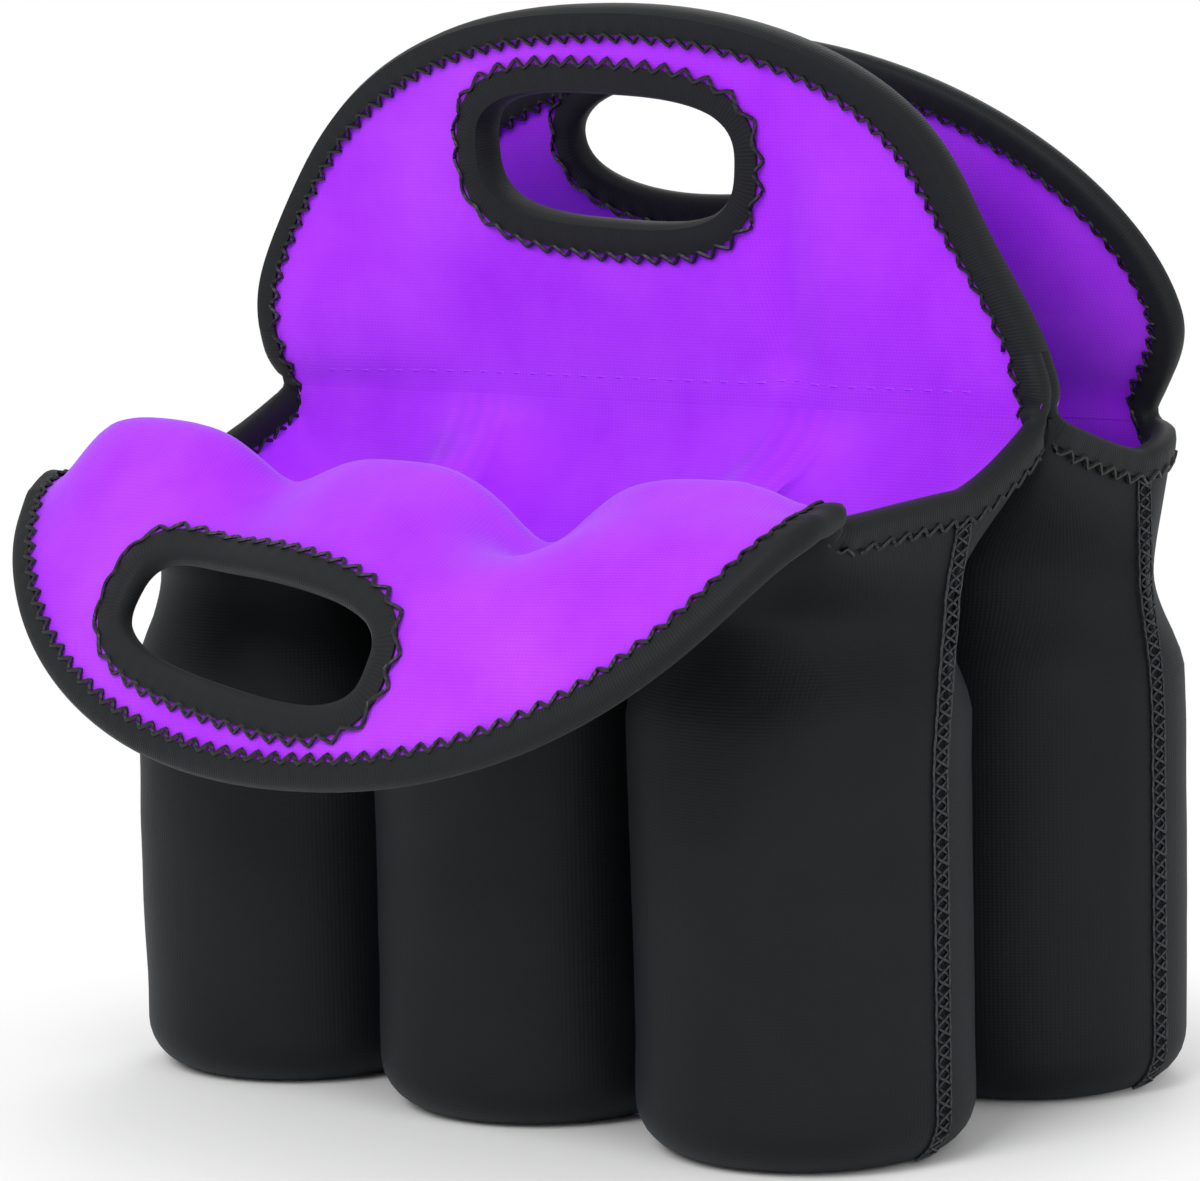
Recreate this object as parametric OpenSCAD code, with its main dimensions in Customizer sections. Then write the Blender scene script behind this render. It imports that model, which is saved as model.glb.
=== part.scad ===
// Neoprene six pack carrier: two rows of three bottle sleeves, a tall middle
// handle between them, and a flap with its own hand slot on each side.
// X runs along the rows, Y from front to back and Z up. The sleeves stand on
// z = 0, and the origin is in the middle of the carrier's width and depth.

/* [Bottle sleeves] */
// Diameter of the bottle that a sleeve is cut for
bottle_d = 61; // [56:0.5:66]
// Room left round the bottle, measured on the diameter
bottle_clear = 4; // [2:0.5:6]
// Thickness of one layer of neoprene
foam_t = 3; // [2.5:0.25:4]
// Straight height of a sleeve, below its shoulder
sleeve_h = 98; // [85:1:112]
// Rounding of a sleeve's bottom edge
bottom_r = 10.8; // [7:0.2:14]
// How far the wall draws in at the shoulder, on the radius
shoulder_in = 4; // [1:0.5:7]
// Height over which the wall draws in
shoulder_h = 10; // [6:1:14]
// Gap between neighbouring sleeves at the divider seam
divider_gap = 1.3; // [0.8:0.1:4]
// Gap between the front row and the rear row
row_gap = 8.2; // [6:0.2:14]

/* [Mouth] */
// Height of the front row's side seams
front_seam_h = 134; // [128:1:138]
// Height of the rear row's side seams
rear_seam_h = 140; // [132:1:142]
// Height of the line on which a flap folds
fold_h = 148; // [146:1:156]
// Distance from the front row's middle to the front fold
front_fold_out = 34; // [28:1:38]
// Distance from the rear row's middle to the rear fold
rear_fold_out = 19; // [17:1:34]
// How far the side seams' tops lean towards the middle handle
seam_lean = 6; // [0:1:10]
// Half of the mouth's length between the side seams' tops
mouth_half_l = 107; // [104:0.5:109]
// Half of a flap's straight fold
fold_half_l = 100; // [84:1:102]

/* [Flaps] */
// Half of a flap's width where it is widest
flap_half_w = 112; // [100:1:118]
// Length of a flap from its fold to its tip
flap_l = 88; // [80:1:96]
// Distance from the fold at which a flap is widest
flap_rise = 27; // [20:1:34]
// Radius to which the front flap bends as it hangs over the sleeves
front_bend_r = 92; // [80:1:200]
// Angle of the front flap below level, at its fold
front_droop = 35; // [20:1:45]
// Radius to which the upright rear flap bends
rear_bend_r = 160; // [120:5:300]
// Angle at which the rear flap leans in, at its fold
rear_lean = 37; // [25:1:42]
// Angle below level to which the rear flap folds back
rear_fold_down = 32; // [0:1:35]

/* [Middle handle] */
// Height at which the middle handle bends
handle_fold_h = 150; // [148:1:158]
// Half of the middle handle's width where it is widest
handle_half_w = 109; // [104:1:112]
// Half of the middle handle's straight root
handle_root_half_l = 97; // [90:1:100]
// Length of the middle handle above its root
handle_l = 86; // [78:1:96]
// Distance above its root at which the middle handle is widest
handle_rise = 12; // [8:1:20]
// Radius to which the middle handle bends forwards
handle_bend_r = 310; // [250:10:600]
// Gap between the handle's two layers, taken up by their bond
layer_gap = 0.2; // [0.1:0.1:0.6]

/* [Hand slots] */
// Length of the finger opening
slot_l = 69; // [60:1:80]
// Height of the finger opening
slot_w = 29; // [22:1:32]
// Distance from a handle's tip to the middle of its slot
slot_from_tip = 32; // [28:1:36]
// Width of the tape round a slot, on each face
slot_tape_w = 7; // [5:0.5:8]

/* [Binding tape] */
// Thickness of the binding tape
tape_t = 1; // [0.6:0.1:1.4]
// Width of the tape on each face of an edge
tape_w = 5.5; // [4:0.5:7]
// Roundness of the handle outlines: 2 is an ellipse, more is squarer
roundness = 2.3; // [2:0.1:3]
// Distance above a fold at which its edge tape starts
tape_start = 5; // [4:0.5:8]

/* [Stitching] */
// Length of one zigzag of thread
stitch_pitch = 5; // [3:0.5:7]
// Width of the zigzag on the side seams
seam_w = 4.6; // [3:0.2:6]
// Thickness of the sewing thread as it lies
thread_t = 0.6; // [0.4:0.1:1]

/* [Hidden] */

black = "#16191c";
tape_black = "#1d2023";
thread_black = "#2b2f33";
violet = "#a63cff";

$fn = 96;
// Larger than the whole carrier, for cutting solids
big = 400;
// Points along one sleeve's half circle
steps = 12;
// Points round the curved part of a handle's outline
tip_steps = 48;
// Clearance between a fold's bead and the panel below it
fold_gap = 0.4;
// Clearance beyond the ends of a fold's bead
fold_end_gap = 3;
// Height by which a collar is rooted in its sleeves
root_step = 0.5;
// Clearance between the mouth tape and the edge that it covers
tape_slack = 0.2;
// Clearance between a raised stitch and the sheet that it lies on
seam_slack = 0.3;
// Clearance beyond the ends of the handle's root
root_end_gap = 2;
// Angle round the end sleeves at which the mouth's edge leaves its fold
end_a = 110;
// Rows of points up a collar
collar_rows = 6;
// Columns of an end sleeve at which the mouth tape's two ends lie
fold_first = 9;
root_first = 9;
// Angle below level at which a side seam starts, under the sleeve
seam_a = 60;
// How fast the mouth's edge climbs from the side seam to the fold
climb = 1.3;
// Length of one stitch as a share of its pitch
stitch_share = 0.6;

inner_r = (bottle_d + bottle_clear) / 2;
outer_r = inner_r + foam_t;
pitch = 2 * outer_r + divider_gap;
row_y = outer_r + row_gap / 2;
shoulder_z = sleeve_h + shoulder_h;
neck_r = inner_r - shoulder_in;
end_x = pitch + outer_r;
layer_y = (foam_t + layer_gap) / 2;
handle_half_t = foam_t + layer_gap / 2;
inner_out = row_y - layer_y;
stitch_l = stitch_pitch * stitch_share;
// Angle below level at the front flap's tip, and the carrier's reach in Y
front_tip_a = min(90, front_droop + flap_l / front_bend_r * 180 / PI);
front_reach = row_y + front_fold_out + front_bend_r * (sin(front_tip_a) - sin(front_droop))
  + (foam_t / 2 + tape_t) * sin(front_tip_a);
rear_reach = row_y + outer_r;
origin_y = (front_reach - rear_reach) / 2;

function sgnpow(v, p) = sign(v) * pow(abs(v), p);
function mix(a, b, w) = a + (b - a) * w;
function ease(w) = w * w * (3 - 2 * w);

// Columns of a panel as [sleeve, angle round it], from the left side seam to
// the right one. Depth d is 0 on the inside skin and foam_t on the outside one.
function columns(r, d) = [
  for (k = [-1, 0, 1])
    let (web = asin(d / (r + d)), a0 = k == -1 ? 0 : web, a1 = k == 1 ? 180 : 180 - web)
    for (i = [0:steps])
      [k, mix(a0, a1, i / steps)]
];

// Point of a column on a scalloped section, as [x, distance from the row's
// middle plane].
function scallop(c, r) = [c[0] * pitch - r * cos(c[1]), r * sin(c[1])];

// Point of a column on the mouth's edge, which is straight along the fold and
// turns into the side seams at its ends.
function mouth(c, d, out, lean, straight, seam_h, top) =
  let (
    turn = 90 * max(0, (c[0] * (c[1] - 90) + 90 - end_a) / (180 - end_a)),
    x0 = scallop(c, neck_r + d)[0],
    spread = straight / (pitch - (neck_r + d) * cos(end_a)),
    half = mouth_half_l - foam_t / 2 + d,
    x = turn > 0 ? c[0] * mix(straight, half, sin(turn)) : x0 * spread,
    e = cos(turn))
  [x, mix(lean, out - foam_t / 2 + d, e), mix(seam_h, top, pow(e, climb))];

// One skin of a sheet that turns from scalloped sleeves into a straight fold.
// Its last two rows bound the band that the mouth tape covers.
function skin(d, out, lean, straight, seam_h, top) = [
  for (row = [0:2])
    let (z = mix(sleeve_h + root_step, shoulder_z, row / 2), r = mix(inner_r, neck_r, ease(row / 2)))
    [for (c = columns(r, d)) let (p = scallop(c, r + d)) [p[0], p[1], z]],
  for (row = [1:collar_rows])
    [for (c = columns(neck_r, d))
      let (
        p = scallop(c, neck_r + d),
        m = mouth(c, d, out, lean, straight, seam_h, top),
        z = row == collar_rows ? m[2] : mix(shoulder_z, m[2] - tape_w, row / (collar_rows - 1)),
        w = ease((z - shoulder_z) / (m[2] - shoulder_z)))
      [mix(p[0], m[0], w), mix(p[1], m[1], w), z]]
];

// The row that roots a skin in the sleeves' wall, w being the share of the
// wall's thickness at which it stands.
function root_row(inside, outside, w) = [
  for (c = [0:len(inside[0]) - 1])
    let (p = mix(inside[0][c], outside[0][c], w))
    [p[0], p[1] + root_step, sleeve_h - foam_t]
];

// Upper part of a panel, rooted in the sleeves' wall below it.
module collar(out, lean, straight, seam_h, top) {
  inside = skin(0, out, lean, straight, seam_h, top);
  outside = skin(foam_t, out, lean, straight, seam_h, top);
  sheet(concat([root_row(inside, outside, 0.3)], inside),
        concat([root_row(inside, outside, 0.7)], outside));
}

// Closed sheet between an inside skin and an outside skin of equal grids.
module sheet(inside, outside) {
  rows = len(inside);
  cols = len(inside[0]);
  points = [
    for (skin = [inside, outside]) for (row = skin) for (p = row) p
  ];
  half = rows * cols;
  function at(r, c) = r * cols + c;
  polyhedron(points, [
    for (r = [0:rows - 2]) for (c = [0:cols - 2]) each [
      [at(r, c), at(r + 1, c + 1), at(r, c + 1)],
      [at(r, c), at(r + 1, c), at(r + 1, c + 1)],
      [half + at(r, c), half + at(r, c + 1), half + at(r + 1, c + 1)],
      [half + at(r, c), half + at(r + 1, c + 1), half + at(r + 1, c)]],
    for (c = [0:cols - 2]) each [
      [at(0, c), at(0, c + 1), half + at(0, c + 1)],
      [at(0, c), half + at(0, c + 1), half + at(0, c)],
      [at(rows - 1, c), half + at(rows - 1, c + 1), at(rows - 1, c + 1)],
      [at(rows - 1, c), half + at(rows - 1, c), half + at(rows - 1, c + 1)]],
    for (r = [0:rows - 2]) each [
      [at(r, 0), half + at(r + 1, 0), at(r + 1, 0)],
      [at(r, 0), half + at(r, 0), half + at(r + 1, 0)],
      [at(r, cols - 1), at(r + 1, cols - 1), half + at(r + 1, cols - 1)],
      [at(r, cols - 1), half + at(r + 1, cols - 1), half + at(r, cols - 1)]]
  ], convexity = 8);
}

// Side of one sleeve, from its middle outwards, with its rounded bottom edge.
module sleeve_profile(r, r_edge, z0) {
  translate([0, z0 + r_edge])
    square([r, sleeve_h - z0 - r_edge]);
  translate([0, z0])
    square([r - r_edge, r_edge + 1]);
  translate([r - r_edge, z0 + r_edge])
    circle(r_edge);
}

module sleeve_body(r, r_edge, z0) {
  rotate_extrude()
    intersection() {
      sleeve_profile(r, r_edge, z0);
      square([r, sleeve_h]);
    }
}

// Half of a row's three sleeves, on the +Y side of its middle plane.
module half_sleeves() {
  intersection() {
    difference() {
      union() {
        for (k = [-1, 0, 1])
          translate([k * pitch, 0, 0])
            sleeve_body(outer_r, bottom_r, 0);
        translate([-pitch, 0, bottom_r])
          cube([2 * pitch, foam_t, sleeve_h - bottom_r]);
      }
      for (k = [-1, 0, 1])
        translate([k * pitch, 0, 0])
          sleeve_body(inner_r, bottom_r - foam_t, foam_t);
      for (k = [-1, 0, 1])
        translate([k * pitch, 0, sleeve_h - 1])
          cylinder(r = inner_r, h = 2);
    }
    translate([-big / 2, 0, 0])
      cube([big, big / 2, sleeve_h]);
  }
}

// Room that a fold needs in the panel below it. The wedge opens towards +Y
// down to the lowest angle that the flap takes.
module fold_room(half_l, half_t, low) {
  rotate([0, 90, 0])
    cylinder(r = half_t + fold_gap, h = 2 * half_l, center = true);
  rotate([-low, 0, 0])
    translate([-half_l, 0, -half_t - fold_gap])
      cube([2 * half_l, 4 * foam_t, 4 * foam_t]);
}

// Outer panel of a row, bulging towards +Y from the row's middle plane.
module outer_panel(out, seam_h, low) {
  half_sleeves();
  difference() {
    collar(out, -seam_lean, fold_half_l, seam_h, fold_h);
    translate([0, out, fold_h])
      fold_room(fold_half_l + fold_end_gap, foam_t / 2, low);
  }
}

// Inner panel of a row, bulging towards +Y from the row's middle plane and
// rising to the root of the middle handle.
module inner_panel(seam_h) {
  half_sleeves();
  difference() {
    collar(inner_out, seam_lean, handle_root_half_l, seam_h, handle_fold_h);
    translate([0, row_y, handle_fold_h])
      rotate([0, 90, 0])
        cylinder(r = handle_half_t + fold_gap, h = 2 * (handle_root_half_l + root_end_gap), center = true);
  }
}

// Outline of a handle as [across, distance from the fold], from its right
// root round the tip to its left root, grown by g.
function outline(half_w, root, rise, length, g) = [
  [root + g / 2, 0],
  [mix(root, half_w, 0.38) + g, rise * 0.3],
  [mix(root, half_w, 0.8) + g, rise * 0.68],
  for (i = [0:tip_steps])
    let (a = 180 * i / tip_steps)
    [(half_w + g) * sgnpow(cos(a), 2 / roundness),
     rise + (length - rise + g) * sgnpow(sin(a), 2 / roundness)],
  [-mix(root, half_w, 0.8) - g, rise * 0.68],
  [-mix(root, half_w, 0.38) - g, rise * 0.3],
  [-root - g / 2, 0]
];

// A bent slab whose fold lies on the X axis. It leaves the fold upwards and
// bends towards -Y, between the two depths measured towards +Y.
module bent_slab(bend_r, d0, d1, half_w) {
  translate([0, -bend_r, 0])
    rotate([0, 90, 0])
      difference() {
        cylinder(r = bend_r + d1, h = 2 * half_w, center = true, $fn = 192);
        cylinder(r = bend_r + d0, h = 2 * half_w + 2, center = true, $fn = 192);
      }
}

// The straight prism that trims a bent slab to an outline. The outline is
// measured along the bent sheet and is laid flat square to its middle.
module trim(bend_r, length, shape) {
  mid = length / 2 / bend_r * 180 / PI;
  translate([0, -bend_r, 0])
    rotate([mid, 0, 0])
      translate([0, bend_r + 20, 0])
        rotate([90, 0, 0])
          linear_extrude(height = 60)
            polygon([for (p = shape) [p[0], bend_r * sin(p[1] / bend_r * 180 / PI - mid)]]);
}

// Places its children at the middle of a handle's slot, with Y through it.
module at_slot(bend_r, length) {
  a = (length - slot_from_tip) / bend_r * 180 / PI;
  translate([0, -bend_r, 0])
    rotate([a, 0, 0])
      translate([0, bend_r, 0])
        children();
}

// Slot with round ends, grown by g on every side.
module slot_prism(g) {
  for (side = [-1, 1])
    translate([side * (slot_l - slot_w) / 2, 0, 0])
      rotate([90, 0, 0])
        cylinder(d = slot_w + 2 * g, h = 30, center = true);
  cube([slot_l - slot_w, 30, slot_w + 2 * g], center = true);
}

// Sheet of a handle between two depths, cut for its slot. Its root is rounded
// by a bead on the fold.
module handle_sheet(half_w, root, rise, length, bend_r, d0, d1, bead) {
  difference() {
    intersection() {
      bent_slab(bend_r, d0, d1, half_w + 10);
      union() {
        trim(bend_r, length, outline(half_w, root, rise, length, 0));
        rotate([0, 90, 0])
          cylinder(r = bead, h = 2 * root, center = true);
      }
    }
    at_slot(bend_r, length)
      slot_prism(tape_t);
  }
}

// Tape folded over a handle's edge, h being half the edge's thickness.
module edge_tape(half_w, root, rise, length, bend_r, h) {
  difference() {
    intersection() {
      bent_slab(bend_r, -h - tape_t, h + tape_t, half_w + 10);
      trim(bend_r, length, outline(half_w, root, rise, length, tape_t));
      translate([-big / 2, -big / 2, tape_start])
        cube(big);
    }
    intersection() {
      bent_slab(bend_r, -h, h, half_w + 10);
      trim(bend_r, length, outline(half_w, root, rise, length, 0));
    }
    trim(bend_r, length, outline(half_w, root, rise, length, -tape_w));
  }
}

// Tape folded over the edge of a slot, h being half the edge's thickness.
module slot_tape(length, bend_r, h) {
  difference() {
    intersection() {
      bent_slab(bend_r, -h - tape_t, h + tape_t, slot_l);
      at_slot(bend_r, length)
        slot_prism(slot_tape_w);
    }
    at_slot(bend_r, length)
      slot_prism(0);
    difference() {
      bent_slab(bend_r, -h, h, slot_l);
      at_slot(bend_r, length)
        slot_prism(tape_t);
    }
  }
}

// Frames in which the pieces of each flap and of the handle are drawn.
module in_front_flap() {
  translate([0, origin_y - row_y - front_fold_out, fold_h])
    rotate([90 + front_droop, 0, 0])
      children();
}

module in_rear_flap() {
  translate([0, origin_y + row_y + rear_fold_out, fold_h])
    mirror([0, 1, 0])
      rotate([-rear_lean, 0, 0])
        children();
}

module in_handle() {
  translate([0, origin_y, handle_fold_h])
    children();
}

// The front row is -1 and the rear row 1.
module in_row(row) {
  translate([0, origin_y + row * row_y, 0])
    children();
}

// Zigzag of thread that lies in the XZ plane, rises along Z and faces +Y.
module zigzag(length, width) {
  n = floor(length / stitch_pitch * 2);
  h = thread_t / 2;
  right = [for (i = [0:n]) [(i % 2 == 0 ? -1 : 1) * width / 2 + h, i * length / n]];
  left = [for (i = [n:-1:0]) [(i % 2 == 0 ? -1 : 1) * width / 2 - h, i * length / n]];
  rotate([90, 0, 180])
    linear_extrude(height = thread_t)
      polygon(concat(right, left));
}

// Places along a side seam, as [out from the carrier's middle, towards the
// handle, up, slope of the wall], from under the sleeve to below the mouth.
function seam_places(seam_h) =
  let (
    arc_n = round(bottom_r * seam_a * PI / 180 / stitch_pitch * 2),
    z1 = seam_h - tape_w - 1,
    n = round((z1 - bottom_r) / stitch_pitch * 2))
  concat(
    [for (i = [0:arc_n - 1])
      let (a = seam_a * (1 - i / arc_n))
      [end_x - bottom_r * (1 - cos(a)), 0, bottom_r * (1 - sin(a)), a]],
    [for (i = [0:n])
      let (
        z = mix(bottom_r, z1, i / n),
        draw = ease(max(0, min(1, (z - sleeve_h) / shoulder_h))),
        w = ease(max(0, (z - shoulder_z) / (seam_h - shoulder_z))),
        x = mix(mix(end_x, pitch + neck_r + foam_t, draw), mouth_half_l + foam_t / 2, w))
      [x, seam_lean * w, z, 0]]);

// Zigzag of thread up the end of a row, lying on the wall.
module side_seam(row, side, seam_h) {
  places = seam_places(seam_h);
  n = len(places);
  h = thread_t / 2;
  color(thread_black)
    in_row(row)
      mirror([side < 0 ? 1 : 0, 0, 0])
        mirror([0, row > 0 ? 1 : 0, 0])
          polyhedron(
            [
              for (i = [0:n - 1])
                let (p = places[i], y = p[1] + (i % 2 == 0 ? -1 : 1) * seam_w / 2)
                for (q = [[0, -h], [thread_t, -h], [thread_t, h], [0, h]])
                  [p[0] + (seam_slack + q[0]) * cos(p[3]), y + q[1], p[2] - (seam_slack + q[0]) * sin(p[3])]
            ],
            tube_faces(n, 4, [[0, 1, 2], [0, 2, 3]]), convexity = 10);
}

// Stitches down the two dividers of a row, on the face turned outwards.
module divider_seams(row) {
  color(thread_black)
    in_row(row)
      for (side = [-1, 1], z = [bottom_r + 4:stitch_pitch:sleeve_h - stitch_pitch])
        translate([side * pitch / 2 - thread_t / 2, row > 0 ? foam_t : -foam_t - thread_t, z])
          cube([thread_t, thread_t, stitch_l]);
}

// Zigzags on the inside of the three floors, where front and back halves meet.
module floor_seams(row) {
  length = 2 * (inner_r - bottom_r) - 4;
  color(thread_black)
    in_row(row)
      for (k = [-1, 0, 1])
        translate([k * pitch - length / 2, 0, foam_t])
          rotate([90, 0, 90])
            zigzag(length, seam_w);
}

// Stitches across the root of the middle handle, on both of its faces.
module handle_root_seam() {
  half_l = handle_root_half_l - 2 * tape_w;
  color(thread_black)
    in_handle()
      for (side = [-1, 1], x = [-half_l:stitch_pitch:half_l])
        translate([x, side * (handle_half_t + tape_slack + thread_t / 2), tape_start])
          cube([stitch_l, thread_t, thread_t], center = true);
}

// Faces of a tube of n rings of m points, with the triangles of its first end.
function tube_faces(n, m, cap) = concat(
  cap,
  [for (t = cap) [for (j = [2:-1:0]) (n - 1) * m + t[j]]],
  [for (i = [0:n - 2], j = [0:m - 1]) each [
    [i * m + j, (i + 1) * m + (j + 1) % m, i * m + (j + 1) % m],
    [i * m + j, (i + 1) * m + j, (i + 1) * m + (j + 1) % m]]]);

// Rings of the tape along one panel's band, from the fold to the side seam.
// Each ring is an upturned U round the band's edge.
function tape_rings(first, flip, out, lean, straight, seam_h, top) =
  let (
    inside = skin(0, out, lean, straight, seam_h, top),
    outside = skin(foam_t, out, lean, straight, seam_h, top),
    rows = len(inside),
    half = foam_t / 2,
    near = (half + tape_slack) / half,
    far = (half + tape_t) / half,
    end = len(inside[0]) - 1)
  [for (c = [end - steps + first:end])
    [for (q = [[2, -far, 0], [1, -far, tape_t], [1, far, tape_t], [2, far, 0],
               [2, near, 0], [1, near, tape_slack], [1, -near, tape_slack], [2, -near, 0]])
      let (
        i = inside[rows - q[0]][c],
        o = outside[rows - q[0]][c],
        p = (i + o) / 2 + (o - i) / 2 * q[1] + [0, 0, q[2]])
      [p[0], flip * p[1], p[2]]]];

// Tape over the mouth's edge, from the outer fold round the side seam to the
// handle's root.
module mouth_tape(row, side, out, seam_h) {
  outer = tape_rings(fold_first, -1, out, -seam_lean, fold_half_l, seam_h, fold_h);
  inner = tape_rings(root_first, 1, inner_out, seam_lean, handle_root_half_l, seam_h, handle_fold_h);
  rings = concat(outer, [for (i = [len(inner) - 2:-1:0]) inner[i]]);
  color(tape_black)
    in_row(row)
      mirror([side < 0 ? 1 : 0, 0, 0])
        mirror([0, row > 0 ? 1 : 0, 0])
          polyhedron(
            [for (ring = rings) for (p = ring) p],
            tube_faces(len(rings), 8,
              [[0, 1, 6], [0, 6, 7], [1, 2, 5], [1, 5, 6], [2, 3, 4], [2, 4, 5]]),
            convexity = 6);
}

module front_panel() {
  color(black)
    in_row(-1)
      mirror([0, 1, 0])
        outer_panel(front_fold_out, front_seam_h, front_droop);
}

module front_inner_panel() {
  color(violet)
    in_row(-1)
      inner_panel(front_seam_h);
}

module rear_inner_panel() {
  color(violet)
    in_row(1)
      mirror([0, 1, 0])
        inner_panel(rear_seam_h);
}

module rear_panel() {
  color(black)
    in_row(1)
      outer_panel(rear_fold_out, rear_seam_h, rear_fold_down);
}

module front_flap() {
  color(violet)
    in_front_flap()
      handle_sheet(flap_half_w, fold_half_l, flap_rise, flap_l, front_bend_r,
        -foam_t / 2, foam_t / 2, foam_t / 2);
}

module front_flap_tape() {
  color(tape_black)
    in_front_flap()
      edge_tape(flap_half_w, fold_half_l, flap_rise, flap_l, front_bend_r, foam_t / 2);
}

module front_flap_slot_tape() {
  color(tape_black)
    in_front_flap()
      slot_tape(flap_l, front_bend_r, foam_t / 2);
}

module handle_layer(side) {
  d0 = side > 0 ? layer_gap / 2 : -handle_half_t;
  color(violet)
    in_handle()
      handle_sheet(handle_half_w, handle_root_half_l, handle_rise, handle_l, handle_bend_r,
        d0, d0 + foam_t, handle_half_t);
}

module handle_tape() {
  color(tape_black)
    in_handle()
      edge_tape(handle_half_w, handle_root_half_l, handle_rise, handle_l, handle_bend_r,
        handle_half_t);
}

module handle_slot_tape() {
  color(tape_black)
    in_handle()
      slot_tape(handle_l, handle_bend_r, handle_half_t);
}

module rear_flap() {
  color(violet)
    in_rear_flap()
      handle_sheet(flap_half_w, fold_half_l, flap_rise, flap_l, rear_bend_r,
        -foam_t / 2, foam_t / 2, foam_t / 2);
}

module rear_flap_tape() {
  color(tape_black)
    in_rear_flap()
      edge_tape(flap_half_w, fold_half_l, flap_rise, flap_l, rear_bend_r, foam_t / 2);
}

module rear_flap_slot_tape() {
  color(tape_black)
    in_rear_flap()
      slot_tape(flap_l, rear_bend_r, foam_t / 2);
}

front_panel();
front_inner_panel();
rear_inner_panel();
rear_panel();
front_flap();
front_flap_tape();
front_flap_slot_tape();
handle_layer(-1);  // handle_front_layer
handle_layer(1);  // handle_rear_layer
handle_tape();
handle_slot_tape();
rear_flap();
rear_flap_tape();
rear_flap_slot_tape();
mouth_tape(-1, -1, front_fold_out, front_seam_h);  // front_left_mouth_tape
mouth_tape(-1, 1, front_fold_out, front_seam_h);  // front_right_mouth_tape
mouth_tape(1, -1, rear_fold_out, rear_seam_h);  // rear_left_mouth_tape
mouth_tape(1, 1, rear_fold_out, rear_seam_h);  // rear_right_mouth_tape
side_seam(-1, -1, front_seam_h);  // front_left_side_seam
side_seam(-1, 1, front_seam_h);  // front_right_side_seam
side_seam(1, -1, rear_seam_h);  // rear_left_side_seam
side_seam(1, 1, rear_seam_h);  // rear_right_side_seam
divider_seams(-1);  // front_divider_seams
divider_seams(1);  // rear_divider_seams
floor_seams(-1);  // front_floor_seams
floor_seams(1);  // rear_floor_seams
handle_root_seam();
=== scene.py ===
"""Neoprene six pack carrier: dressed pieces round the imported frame.

Two rows of three bottle sleeves stand back to back. The inner panels rise into a
tall middle handle of two layers, and each outer panel runs on into a flap with a
hand slot of its own. Lengths are in millimetres until a mesh is written in metres.
X runs along the rows, Y from front to back and Z up.
"""

import logging
import math
from collections.abc import Callable
from dataclasses import dataclass, field
from enum import Enum

import bpy
import numpy as np
from mathutils import Matrix, Vector, noise


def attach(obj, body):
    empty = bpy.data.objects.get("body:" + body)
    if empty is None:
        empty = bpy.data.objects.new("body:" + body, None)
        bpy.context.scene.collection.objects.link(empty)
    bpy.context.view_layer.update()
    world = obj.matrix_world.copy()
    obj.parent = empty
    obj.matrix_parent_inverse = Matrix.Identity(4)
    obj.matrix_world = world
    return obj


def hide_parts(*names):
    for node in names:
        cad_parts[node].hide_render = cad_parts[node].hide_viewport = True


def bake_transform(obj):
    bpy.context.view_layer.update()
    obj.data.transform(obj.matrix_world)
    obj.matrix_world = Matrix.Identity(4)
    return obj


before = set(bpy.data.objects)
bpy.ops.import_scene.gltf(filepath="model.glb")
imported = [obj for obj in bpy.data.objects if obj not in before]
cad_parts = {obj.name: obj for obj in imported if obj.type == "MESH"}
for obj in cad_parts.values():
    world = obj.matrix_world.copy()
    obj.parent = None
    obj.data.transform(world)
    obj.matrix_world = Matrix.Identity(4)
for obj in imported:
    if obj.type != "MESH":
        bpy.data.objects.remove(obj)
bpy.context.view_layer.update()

LOG = logging.getLogger("carrier")
MM = 0.001
WHITE = "#ffffff"
# Scale of a wave texture that gives one band for each millimetre of cloth
BAND = 2 * math.pi / 20 / MM
Array = np.ndarray
# Takes u and v from 0 to 1 and gives points
Place = Callable[[Array, Array], Array]
# Takes distances run along an edge, out of it and off the cloth, and gives points
Placing = Callable[[Array, Array, Array], Array]
# Two points in metres, between which cloth bends at a joint
Bend = tuple[tuple[float, float, float], tuple[float, float, float]]

# Sleeves, in millimetres, the same as in the part's source
ORIGIN_Y = 20.115
FOAM = 3.0
PITCH = 72.3
ROW_Y = 39.6
MID_R = 34.0
BOTTOM_R = 9.3
SLEEVE_H = 98.0

# Collars: where the cloth draws in and leans, and the half width and seams of the mouths
DRAW_Z = 90.0
LEAN_Z = 78.0
SHOULDER_Z = 112.0
NECK_R = 30.0
END_NECK_R = 33.2
END_ANGLE = 110.0
MOUTH_HALF = 107.0
FRONT_LEAN = 9.0
REAR_LEAN = 6.0
FRONT_SEAM_H = 137.0
REAR_SEAM_H = 140.0

# Distance of each layer's middle from the middle handle's own, and where the handle bends
LAYER_Y = 1.57
HANDLE_BEND = ((0, 0.0201, 0.150), (0, 0.0201, 0.160))

# Binding: its width on a face, its thickness, its slack over the cloth, and how far a flap's
# tape laps onto its row's mouth
TAPE_W = 5.0
SLOT_TAPE_W = 6.0
TAPE_THICK = 0.9
TAPE_SLACK = 0.08
LAP = 8.0
# Half of a tape's section: shares of its width with the lift there, then the fold as
# distances past the cloth's edge with the share of its height
TAPE_FACE = ((1.0, 0.0), (0.72, 0.18), (0.35, 0.22))
TAPE_FOLD = ((-0.35, 1.0), (0.32, 0.62), (0.55, 0.0))
# How far each stitch draws a tape's edge in, and presses it down
TAPE_DRAW = 0.22
TAPE_PRESS = 0.16

# Threads: the pitch of the stitches, their slack, the radii, and the faces round a thread
STITCH = 5.0
SLACK = 0.1
THREAD_R = 0.48
SEAM_THREAD_R = 0.3
THREAD_SIDES = 5


class Row(Enum):
    """The two rows of sleeves, by the sign of their place in Y."""

    FRONT = -1
    REAR = 1


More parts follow.
